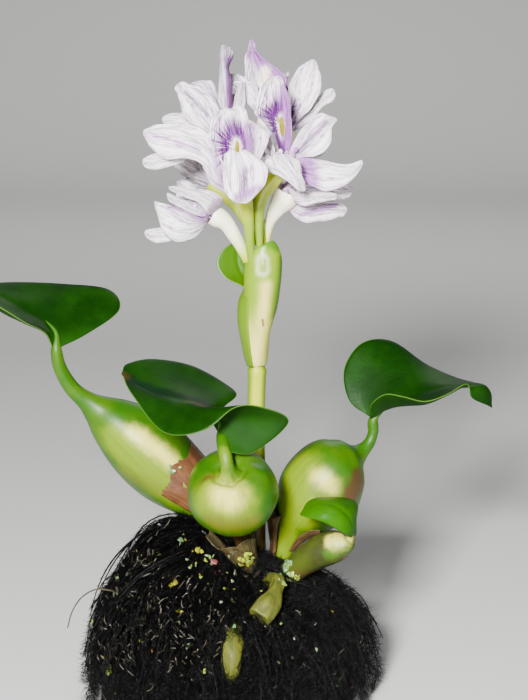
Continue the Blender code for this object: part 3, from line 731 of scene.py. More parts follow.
LEFT_LINE = [
    (-8, 5, 52), (-9.6, 5, 62), (-19.4, 6, 80), (-30.7, 8, 92.9), (-42.9, 10, 103.5),
    (-55.9, 10, 116.7), (-70.6, 8, 129.2), (-78.2, 6, 136), (-85.4, 4, 143.1),
    (-90.3, 2, 152.6), (-91.8, 0.3, 161.2), (-92.1, 0, 163.6),
]
LEFT_PROFILE = [
    (0, 0), (0.4, 3.6), (10, 4.0), (24, 5.6), (38, 10.0), (52, 14.8), (68, 17.6), (84, 16.5),
    (98, 12), (108, 7), (116, 4.3), (128, 3.5), (136, 3.1), (143.5, 2.6), (144.4, 1.2), (144.6, 0),
]
FRONT_LINE = [
    (-2.4, -8.6, 52), (-3.2, -11, 62), (-5.5, -15, 74), (-8.2, -19.5, 85), (-9.6, -27.5, 96),
    (-10.3, -35.5, 104.8), (-11.1, -42.5, 112.2), (-12.2, -46.8, 118.2), (-13.2, -46.4, 123.6),
    (-14.3, -43, 128.2), (-15, -39, 131.8), (-15.4, -37.4, 133.6),
]
# The distance along its stalk of the front float's middle
FRONT_CENTRE = 60.5
FRONT_PROFILE = [
    (0, 0), (0.4, 3.6), (16, 3.9), (29, 4.1), (36.5, 5.0), (FRONT_CENTRE - 20.0, 8.6),
    (FRONT_CENTRE - 16.5, 13), (FRONT_CENTRE - 10, 17.6), (FRONT_CENTRE - 2, 20.2),
    (FRONT_CENTRE + 5, 19.9), (FRONT_CENTRE + 11, 17), (FRONT_CENTRE + 15.5, 12),
    (FRONT_CENTRE + 16.4, 8.6), (FRONT_CENTRE + 15.0, 6.2), (FRONT_CENTRE + 16.6, 4.4),
    (FRONT_CENTRE + 20, 3.2), (94.2, 2.7), (97, 1.8), (97.4, 0),
]
RIGHT_LINE = [
    (5.5, 1, 44), (9.0, 2, 53), (12.2, 2, 63), (17.2, 3, 76), (26.2, 4, 89.5), (34.6, 5, 100.5),
    (42.5, 7, 107), (48.5, 9.5, 110.6), (53, 11.2, 114.7), (55, 12, 120), (55, 12, 125.6),
    (54.6, 12, 128),
]
RIGHT_PROFILE = [
    (0, 0), (0.4, 3.7), (12, 4.1), (24, 4.6), (32, 7.5), (40, 13), (50, 17.8), (61, 19.2),
    (70, 17.0), (76.5, 11.5), (80, 6.2), (85, 3.4), (92, 2.5), (99, 2.5), (101, 1.5), (101.3, 0),
]
YOUNG_LINE = [
    (3, -4, 42), (8, -9, 49), (21, -16, 64.5), (32.6, -24, 74), (40.3, -29, 78), (43.3, -30, 81),
    (43.8, -30, 82.6),
]
YOUNG_PROFILE = [
    (0, 0), (0.4, 3.8), (12, 4.6), (30, 6.2), (47, 7.6), (55, 6.9), (60, 4.6), (62.5, 2.0), (63, 1.4),
    (64, 0),
]

# Marks, here and further down, follow a line as the camera sees it. Each has the two ends across and
# down, the depth, the reach of its full and of its faintest colour in millimetres, the colour and the
# strength.
LEFT_FLOAT_MARKS = [
    (118, 444, 178, 486, -6, 5, 15, "float_light", 0.90),
    (124, 474, 176, 496, -4, 2, 9, "float_buff", 0.50),
    # Painted highlight: a pale band where the left float catches the light
    (132, 430, 172, 460, -6.5, 0, 8.5, "float_pale_and_highlight", 0.90),
    (196, 470, 198, 500, -4, 4, 9, "scar_brown", 0.50),
    (214, 530, 240, 580, 4, 6, 12, "sheath_brown", 0.95),
]
FRONT_FLOAT_MARKS = [
    (214, 500, 228, 506, -54, 9, 18, "float_light", 0.95),
    # Painted highlight at the middle of the front float
    (222, 494, 231, 498, -55.4, 0, 13, "float_pale_and_highlight", 0.90),
    # A darker olive wash over the front float's lower part: partly its tan underside, partly painted shade
    (208, 524, 252, 528, -53, 2, 10, "float_buff", 0.92),
    (226, 466, 224, 450, -49, 1, 5, "float_light", 0.60),
    (201, 481, 209, 478, -46, 0.5, 4.5, "scar_brown", 0.80),
    (246, 467, 253, 466, -46, 0.2, 1.4, "scar_brown", 0.60),
    (241, 546, 250, 590, -20, 8, 15, "scar_brown", 0.95),
]
RIGHT_FLOAT_MARKS = [
    (296, 468, 300, 510, -10, 6, 17, "float_light", 0.95),
    (288, 520, 286, 556, -3, 3, 7, "float_light", 0.95),
    # Painted highlight on the right float
    (320, 476, 330, 488, -13.3, 0, 9, "float_pale_and_highlight", 0.75),
    (350, 492, 362, 478, -8, 4, 8, "scar_brown", 0.90),
    (300, 524, 328, 524, 0, 1, 6, "scar_brown", 0.60),
]
YOUNG_FLOAT_MARKS = [
    (334, 541, 341, 538, -32, 3, 7, "float_pale_and_highlight", 0.75),
    (328, 531, 333, 534, -31, 0.5, 2.5, "scar_brown", 0.60),
    (345, 545, 330, 553, -32, 1, 5, "bract_green", 0.60),
    (300, 572, 310, 566, -20, 1, 6, "sheath_pink", 0.40),
]
FRONT_BLADE_MARKS = [
    # Painted shade along the front leaf's folded crease
    (134, 381, 210, 407, -29.5, 1.5, 6.0, "leaf_painted_shade", 0.92),
    (122, 374, 126, 377, -29, 0.5, 4.0, "scar_brown", 0.40),
    (188, 402, 202, 408, -34, 0.5, 4.0, "scar_brown", 0.45),
]
# Painted shade: a fainter dark band on the right leaf
RIGHT_BLADE_MARKS = [(415, 392, 440, 392, 2, 1, 5, "leaf_painted_shade", 0.5)]


def soft_lumps(strength, scale=0.055):
    """A slight unevenness round a stalk."""
    def shape(angle, distance):
        """The radius's factor at an angle and a distance."""
        spot = Vector((math.cos(angle) * 1.6, math.sin(angle) * 1.6, distance * scale))
        return 1.0 + strength * noise.noise(spot)
    return shape


def dimple_ribs(angle, distance):
    """The front float's skin, gathered into soft ribs where its stalk leaves the dimple."""
    gathered = smooth(distance, FRONT_CENTRE + 9, FRONT_CENTRE + 15) * (1 - smooth(distance, 76.6, 79))
    lobes = 0.06 * math.sin(5 * angle + 0.7) + 0.035 * math.sin(9 * angle)
    return soft_lumps(0.05)(angle, distance) + gathered * lobes


def stalk_piece(name, line, profile, rib, shape):
    """A leaf stalk that runs on along the middle of its blade as a tapering rib."""
    spine = Spine(line[:-1] + rib)
    start, radius = profile[-3]
    profile = profile[:-2] + [
        (start + (spine.length - start) * 0.4, radius * 0.5), (spine.length - 1.0, 0.3), (spine.length, 0)]
    return round_piece(name, spine, profile, 72, 160, shape)


# The leaf blades: the near edge, the middle vein and the far edge of each

LEFT_BLADE = (
    [(-93.4, -1, 163.2), (-96.1, -6, 171.7), (-103.7, -14, 177.4), (-113.1, -16, 183.8),
     (-120.8, -12, 188.1), (-126.4, -4, 190.3), (-130, 3, 191.2)],
    [(-92, 0, 163.2), (-92, 2, 169.5), (-97, 5, 175), (-106, 6, 179.5),
     (-116, 6, 184.4), (-124, 5, 188.6), (-130.2, 4, 191.2)],
    [(-90.0, 1, 163.0), (-78, 9, 167.9), (-64, 20, 177), (-70, 30, 184.5),
     (-92, 32, 186.6), (-114, 22, 189.6), (-130, 5, 191.4)],
)
FRONT_BLADE = (
    [(-12.4, -46.5, 126.0), (-0.7, -44, 125.1), (14.5, -42, 138.4), (2.8, -47, 145.8), (-9, -54, 147.6),
     (-22, -58, 139.2), (-39.6, -51, 136.6), (-54.5, -37, 149.4), (-59.4, -29, 156.6)],
    [(-14.9, -42, 129.8), (-15.8, -38.6, 136.6), (-17.5, -37, 139.8), (-22, -35.6, 142.2),
     (-28, -34.4, 145), (-36, -32.4, 147), (-46, -30.4, 149.8), (-55, -28.8, 153.8), (-59.8, -28, 157)],
    [(-16.7, -38.5, 133.5), (-19.8, -29, 137.2), (-13, -19, 141), (-8.6, -12, 144.5), (-15.5, -6, 148.8),
     (-30.2, -4, 155.4), (-47, -10, 159.6), (-57.6, -21, 160.4), (-59.8, -27, 157.6)],
)
RIGHT_BLADE = (
    [(53.4, 10.4, 126.8), (53.6, 0, 136), (59.1, -8, 143.1), (66.9, -14, 143.6), (76.8, -16, 141.7),
     (87.5, -13, 143.4), (96.8, -6, 146.9), (99.4, -4.0, 140.3), (108.8, 1.4, 134.8)],
    [(54.4, 12, 126.6), (58, 11, 129.5), (62, 9.5, 133), (68, 8, 137), (76, 6.6, 140.4),
     (86, 5.6, 142.4), (95.4, 4.4, 143.6), (104.2, -1.0, 144.8), (109.2, 2, 134.2)],
    [(54.2, 13.6, 126.6), (44, 18, 133.6), (41.6, 25, 147.2), (50, 31, 158.2), (64.5, 34.5, 158.9),
     (80.4, 30, 149.6), (93.8, 20, 145.2), (107.4, 6.0, 142.2), (109.4, 2.6, 134.8)],
)
# The young leaf as the camera sees it, from foot to tip: its first edge, fold and last edge, each
# across, down and the depth in millimetres
YOUNG_BLADE = [
    (351, 538, -31, 354, 537, -30, 356, 535, -29), (345, 534, -36, 352.5, 526, -33, 356, 519, -26),
    (334, 528, -38.5, 346, 514, -35, 358, 505, -20), (322, 522, -39, 333, 505.5, -34, 348, 498.5, -19),
    (311, 518.5, -37, 320, 503.5, -32, 322, 498, -20), (304, 516.5, -34, 309, 508, -31, 309, 501, -24),
    (300, 515, -31, 301, 513, -30.5, 303, 510, -29),
]


def woven_sheet(name, edges, across, along, thick, finishes, shape, edge=0.4, rim=0.05):
    """A sheet woven between its first edge, middle line and last edge; shape lifts its surface."""
    near, middle, far = [[Vector(point) for point in line] for line in edges]
    rows = {}

    def place(u, v):
        """A point of the sheet: u from the first edge to the last, v from foot to tip."""
        if v not in rows:
            first, centre, last = [curve_at(line, v) for line in (near, middle, far)]
            ahead = curve_at(middle, min(v + 0.02, 1.0)) - curve_at(middle, max(v - 0.02, 0.0))
            rows[v] = (first, centre, last, (last - first).cross(ahead).normalized())
        first, centre, last, normal = rows[v]
        width = (last - first).length
        lift, widen = shape(u, v, width, centre)
        t = 0.5 + 0.5 * u * widen
        point = first * ((1 - t) * (1 - 2 * t)) + centre * (4 * t * (1 - t)) + last * (t * (2 * t - 1))
        return point + normal * lift

    piece = grid_piece(name, across, along, place)
    for finish in finishes:
        piece.data.materials.append(finish)
    thicken(piece, thick, edge, rim)
    return piece


def leaf_shape(ripple):
    """A leaf's slight waves, stronger at its edges, and the shallow crease of its middle vein."""
    def shape(u, v, width, centre):
        """The lift off the sheet and the widening at one point."""
        here = centre + Vector((0.0, u * width * 0.5, 0.0))
        wave = noise.noise(here * 0.045) + 0.6 * math.sin(9.0 * v + 2.0 * u) * u * u
        crease = 0.5 * math.exp(-(u * 9.0) ** 2) * smooth(width, 4.0, 25.0)
        return wave * ripple * smooth(width, 4.0, 30.0) - crease, 1.0
    return shape


def petal_shape(seed, crease, ruffle):
    """A petal's crease, crinkles, waved edges and uneven outline."""
    def shape(u, v, width, centre):
        """The lift off the sheet and the widening at one point."""
        full = smooth(width, 2.0, 14.0)
        wave = math.sin(12.0 * v + 2.5 * u + seed) + 0.7 * math.sin(21.0 * v - 1.7 * seed)
        folds = noise.noise(Vector((u * 2.2 + seed, v * 4.0, seed * 0.7)))
        fine = noise.noise(Vector((u * 7.0 - seed, v * 9.0, seed)))
        lift = crease * math.exp(-(u * 5.0) ** 2) * full
        lift += (ruffle * wave * abs(u) ** 2.5 + 1.5 * folds + 0.65 * fine) * full
        ragged = noise.noise(Vector((v * 6.0 + (5.0 if u > 0 else 0.0), seed, 0.0)))
        return lift, 1.0 + 0.06 * ragged
    return shape


# The withered sheaths

def sheath_piece(name, line, profile, span, turn, stand_off, ragged, thick, aside=0.0):
    """A withered sheath that flares off its stalk, ragged along its upper edge."""
    spine = Spine(line)

    def place(u, v):
        """A point of the sheath: u round the stalk, v up it."""
        tear = noise.noise(Vector((u * 2.6, span[0], 1.7)))
        tear += 0.25 * noise.noise(Vector((u * 14.0, span[0], 5.0)))
        tear = ragged * (1.6 * tear - 0.3 * abs(u)) * v ** 3
        distance = span[0] + (span[1] - span[0]) * (v + tear)
        wrinkle = 0.5 * noise.noise(Vector((u * 7.0, v * 2.0, span[1])))
        lift = 0.5 + stand_off * v ** 1.4 + wrinkle
        middle, way, front = spine.at(distance)
        angle = math.radians(turn[0] + (turn[1] - turn[0]) * (0.5 + 0.5 * u))
        round_off = min(radius_at(profile, distance), radius_at(profile, span[0]) + stand_off)
        hug = round_off if stand_off > 2.0 else radius_at(profile, distance)
        return middle + turned(way, front, angle) * (hug + lift) + Vector((aside * v, 0.0, 0.0))

    piece = grid_piece(name, 44, 30, place)
    thicken(piece, thick, edge=0.4, rim=0.08)
    return piece


# The flower stalk and its two bracts, with lines and profiles like the leaf stalks'

STALK_LINE = [
    (0, 3.6, 50), (0, 2.4, 76), (0, 1, 104), (0, 0, 132), (0.5, 0, 153.5), (0, 0, 170),
    (2.3, 0, 184.4), (3, 0, 198), (3, 0, 209), (1.4, -0.6, 222), (0.4, 2, 236), (0.4, 5, 248),
]
STALK_PROFILE = [
    (0, 0), (0.4, 4.4), (26, 4.5), (54, 4.3), (82, 4.1), (97, 4.1), (100.4, 4.2), (102, 4.4), (103.6, 4.2),
    (105.4, 3.2), (120, 3.0), (134, 2.8), (150, 2.6), (160, 2.5), (170, 2.5), (172.5, 2.8),
    (175.5, 2.2), (186, 2.0), (197, 1.5), (198.4, 0),
]
BRACT_LINE = [
    (0.4, 0, 155), (0.1, 0, 170), (2.3, 0, 184.4), (3.2, 0, 198.4), (3.8, 0, 207), (5.4, 0, 214),
]
BRACT_PROFILE = [
    (0, 4.2), (2, 4.6), (8, 5.3), (18, 6.3), (30, 7.4), (42, 8.3), (48, 8.2), (53, 7.6), (56.5, 6.7),
    (59, 5.5), (60, 4.6),
]
STALK_MARKS = [
    (262, 500, 264, 560, -3, 4, 9, "scar_brown", 0.92),
    (262, 462, 262, 500, -3, 2, 7, "float_green", 0.80),
]
BRACT_MARKS = [
    (278, 312, 284, 262, -2, 1, 7.0, "bract_green", 0.90),
    (262, 242, 278, 246, -5, 1, 5, "bract_green", 0.90),
    (249, 292, 250, 262, -4, 0.5, 2.5, "bract_green", 0.35),
    # Painted highlight: a pale ring with a green middle, standing for the ring-shaped reflection on the
    # bract's front
    (262.5, 260, 262.5, 270, -8.7, 1.8, 5.0, "tube_cream", 0.36),
    (263, 261, 263, 269, -8.7, 0.6, 3.0, "tube_green", 0.85),
    # Painted highlight: a cream wash down the middle of the bract's front
    (266, 286, 262, 350, -8, 0.2, 6.0, "bract_cream", 0.80),
    (262.5, 320, 264, 328, -7, 0.2, 0.7, "scar_brown", 0.8),
    (266, 345, 266, 360, -3, 0.6, 2.6, "sheath_pink", 0.30),
]
# How far the bract's mouth slants down, the turn of its hood, how wide the hood is on either side, and the
# turn, height and spread of its fold
MOUTH_SLANT = 16.0
HOOD_TURN, HOOD_LEFT, HOOD_RIGHT = 0.45, 1.3, 1.66
FOLD_TURN, FOLD_HEIGHT, FOLD_SPREAD = 0.26, 47.0, 4.5
# The lower bract as the camera sees it, from foot to tip: its first edge, middle and last edge
LOWER_BRACT = [
    (253, 367, -5.0, 247.0, 366, 0.2, 252, 364, 5.0), (250, 346, -6.0, 242.4, 344, 0.4, 250, 341, 6.5),
    (248.5, 322, -5.6, 238.6, 319, 1.2, 248, 314, 8.5), (248.5, 303, -5.4, 239.6, 301, 2.4, 249, 297, 9.5),
    (250, 291, -4.4, 244.6, 289, 3.0, 252, 286, 9.5), (241, 285.5, -1.0, 246, 281, 5.0, 256, 276, 9.5),
    (225, 278, 1.0, 240, 271, 6.5, 258, 264, 10.0), (216.5, 264, 3.0, 237, 259, 7.5, 256, 254, 10.5),
    (222, 250.5, 5.0, 237, 248, 8.0, 251, 246, 10.0), (233, 243, 6.5, 238, 241.5, 8.2, 243, 241, 9.0),
]


def upper_bract_piece(name, thick):
    """The upper bract: a sheath round the stalk, hooded at the right of its slanting mouth."""
    spine = Spine(BRACT_LINE)
    heights = {}

    def place(u, v):
        """A point of the bract: u round the stalk, v up it."""
        angle = math.pi * u
        off = (angle - HOOD_TURN + math.pi) % (2.0 * math.pi) - math.pi
        wide = HOOD_LEFT if off > 0.0 else HOOD_RIGHT
        lowered = MOUTH_SLANT * (1.0 - math.exp(-(off / wide) ** 2)) * v ** 2
        height = spine.length * v - lowered
        if height not in heights:
            heights[height] = (radius_at(BRACT_PROFILE, height), spine.at(height))
        radius, (middle, way, front) = heights[height]
        fold = 1.0 + 0.03 * noise.noise(Vector((math.cos(angle) * 1.4, math.sin(angle) * 1.4, v * 4)))
        fold += 0.05 * math.exp(-(angle / FOLD_TURN) ** 2 - ((height - FOLD_HEIGHT) / FOLD_SPREAD) ** 2)
        collar = 1.0 - 0.05 * math.exp(-(height / 2.5) ** 2)
        return middle + turned(way, front, angle) * (radius * fold * collar)

    piece = grid_piece(name, 84, 90, place)
    thicken(piece, thick, edge=0.6, rim=0.02, round_about=True)
    return piece


# Flowers: the tube as the camera sees it, from its foot to its throat, each point across, down, the
# depth and the radius in millimetres; its skin; the way it faces and the turn of its banner; and, for
# each petal that faces away, the offsets from the throat of its middle and tip, and half its width
FLOWERS = {
    "front_flower": (
        [(252, 262, -3.5, 2.0), (250, 243, -6.5, 2.1), (249, 227, -8.5, 2.4), (246, 210, -11, 3.4),
         (243, 199, -14.5, 3.8), (237, 191, -18, 3.2)],
        "green", (-0.25, -0.62, 0.75), 90, {}),
    "right_flower": (
        [(260, 252, -4.0, 1.6), (259.5, 240, -5.1, 1.7), (258.8, 221, -6.4, 2.0), (258.8, 218, -6.6, 2.4),
         (260, 203, -7.4, 2.8), (265, 190, -8.2, 3.4), (274, 179, -9.0, 3.6), (283, 169, -10, 3.2)],
        "green", (0.25, -0.6, 0.75), 105, {1: ((-7, 8, 11), (-12, 12, 20), 4.5)}),
    "low_right_flower": (
        [(266, 252, -0.5, 1.5), (267, 238, 0.2, 1.6), (270, 222, 1.0, 2.4), (277, 208, 1.2, 4.2),
         (285, 197, 0.0, 6.2), (288, 190, -1.0, 6.0)],
        "white", (0.8, 0.2, 0.45), 90,
        {4: ((12, 12, -3), (20, 22, -6), 6.5), 5: ((5.5, 13.6, 7.6), (10.5, 26, 12), 6.2)}),
    "left_flower": (
        [(247, 262, -2.0, 2.0), (244.5, 254, -2.8, 2.4), (236, 238, -3.6, 3.0), (226, 223, -4.6, 3.8),
         (217, 217, -5.5, 4.6), (212, 215, -6.0, 4.2)],
        "white", (-0.85, -0.35, 0.3), 90,
        {1: ((-9, 12, 7), (-17, 20, 11), 5.5), 2: ((-13, 11, -7), (-22, 17, -12), 5.5)}),
    "top_left_flower": (
        [(248, 180, 4.8, 1.8), (238, 164, 6.8, 2.6), (224, 142, 8.0, 4.0)],
        "white", (-0.5, -0.1, 0.85), 90, {1: ((2, 11, 12), (4, 22, 20), 6.0)}),
    "top_flower": (
        [(258, 158, 7.4, 1.8), (262, 141, 9.0, 2.6), (266, 120, 12, 4.0)],
        "white", (0.0, -0.5, 0.87), 90,
        {1: ((-10, 8, 11), (-15, 14, 20), 6.0), 2: ((-8, 0, 12), (-15, 0, 17), 6.0),
         4: ((6, -3, 11), (9, -4, 16), 6.0), 5: ((6, 9, 11), (9, 17, 20), 6.0)}),
    "back_right_flower": (
        [(266, 180, 4.6, 1.8), (276, 157, 8.0, 2.6), (288, 132, 12, 4.0)],
        "white", (0.5, 0.2, 0.85), 90,
        {0: ((0, 1, 12), (1, 3, 22), 6.0), 4: ((6, 13, 6), (10, 24, 9), 6.0),
         5: ((-1, 10, 8), (-1, 20, 14), 6.0)}),
    "back_left_flower": (
        [(261, 248, 5.0, 1.7), (249, 226, 10, 2.2), (234, 203, 14, 3.0), (214, 184, 18, 4.0)],
        "green", (-0.5, 0.75, 0.45), 90,
        {0: ((-2, 6, 14), (-4, 12, 27), 7.0), 1: ((5, 9, 9), (9, 16, 18), 6.0),
         2: ((5, 12, 1), (10, 24, -3), 6.0), 3: ((-4, 12, -5), (-8, 24, -12), 6.0),
         5: ((-9, 3, 8), (-19, 4, 13), 6.0)}),
}
JOINED_FLOWERS = ("top_flower", "back_right_flower", "back_left_flower")
# For each kind of petal: how dark its middle streak is and how lilac it is
PETAL_KINDS = {
    "plain": (0.08, 0.20), "streaked": (0.45, 0.34), "violet": (0.40, 1.20), "bluish": (0.35, 0.62),
    "banner": (0.30, 0.36),
}
# Marks of single petals, some of them painted shade and painted shadow, as noted at each
PETAL_MARKS = {
    "front_banner_petal": [
        (248.5, 126, 249.5, 154, -17, 0.6, 3.2, "petal_lilac", 0.85),
        (213, 142, 219, 186, -21, 0.4, 3.4, "blotch_violet", 0.45)],
    "front_petal_1": [(150, 134, 200, 150, -20, 0.2, 1.2, "petal_lilac", 0.8)],
    "front_petal_3": [
        # Painted shade in the petal's crease, in the blotch's violet
        (245, 171, 244, 190, -36, 0.5, 3.0, "blotch_violet", 0.70),
        (238, 198, 258, 188, -35, 0.5, 3.6, "petal_lilac", 0.80)],
    "front_petal_5": [(251, 126, 252, 150, -17, 0.4, 2.4, "petal_lilac", 0.85)],
    "right_banner_petal": [
        # Painted shade on the banner's right half, which turns away from the light
        (286.5, 88, 289, 148, -9, 0.8, 4.0, "petal_lilac", 0.90),
        (260, 119, 277, 106, -12, 0.5, 3.8, "blotch_violet", 0.75),
        # Painted shade in the flower's throat
        (263, 132, 278, 154, -12, 2.0, 5.4, "painted_violet_shade", 0.85),
        (281, 121, 282, 132, -6.5, 1.1, 1.8, "eye_yellow", 1.0)],
    # Painted shadow cast on the petal's left part by its flower's lip
    "right_petal_4": [(306, 160, 310, 186, -12, 2.0, 7.0, "petal_lilac", 0.90)],
    "right_petal_5": [(325, 123, 300, 150, -13, 0.4, 2.6, "blotch_violet", 0.65)],
    "low_right_petal_3": [(300, 215, 335, 206, 1, 0.3, 1.8, "petal_lilac", 0.85)],
    "left_petal_4": [(176, 205, 202, 216, -18, 1.0, 5.0, "petal_lilac", 0.75)],
    "top_left_banner_petal": [
        (231, 62, 231, 118, 10, 1.2, 4.0, "petal_lilac", 1.0),
        (224, 48, 230, 64, 7, 1.5, 5.5, "painted_violet_shade", 0.50)],
    "top_left_petal_4": [(185, 92, 207, 115, 0, 0.3, 1.8, "blotch_violet", 0.60)],
    "top_banner_petal": [
        # Painted shade on the banner's right half, which turns away from the light
        (258, 58, 285, 86, 15, 1.5, 6.0, "petal_lilac", 0.95),
        (266, 70, 263, 83, 16, 0.8, 3.2, "tube_cream", 0.85),
        (253, 42, 252, 52, 14, 1.0, 4.0, "petal_lilac", 0.80)],
}
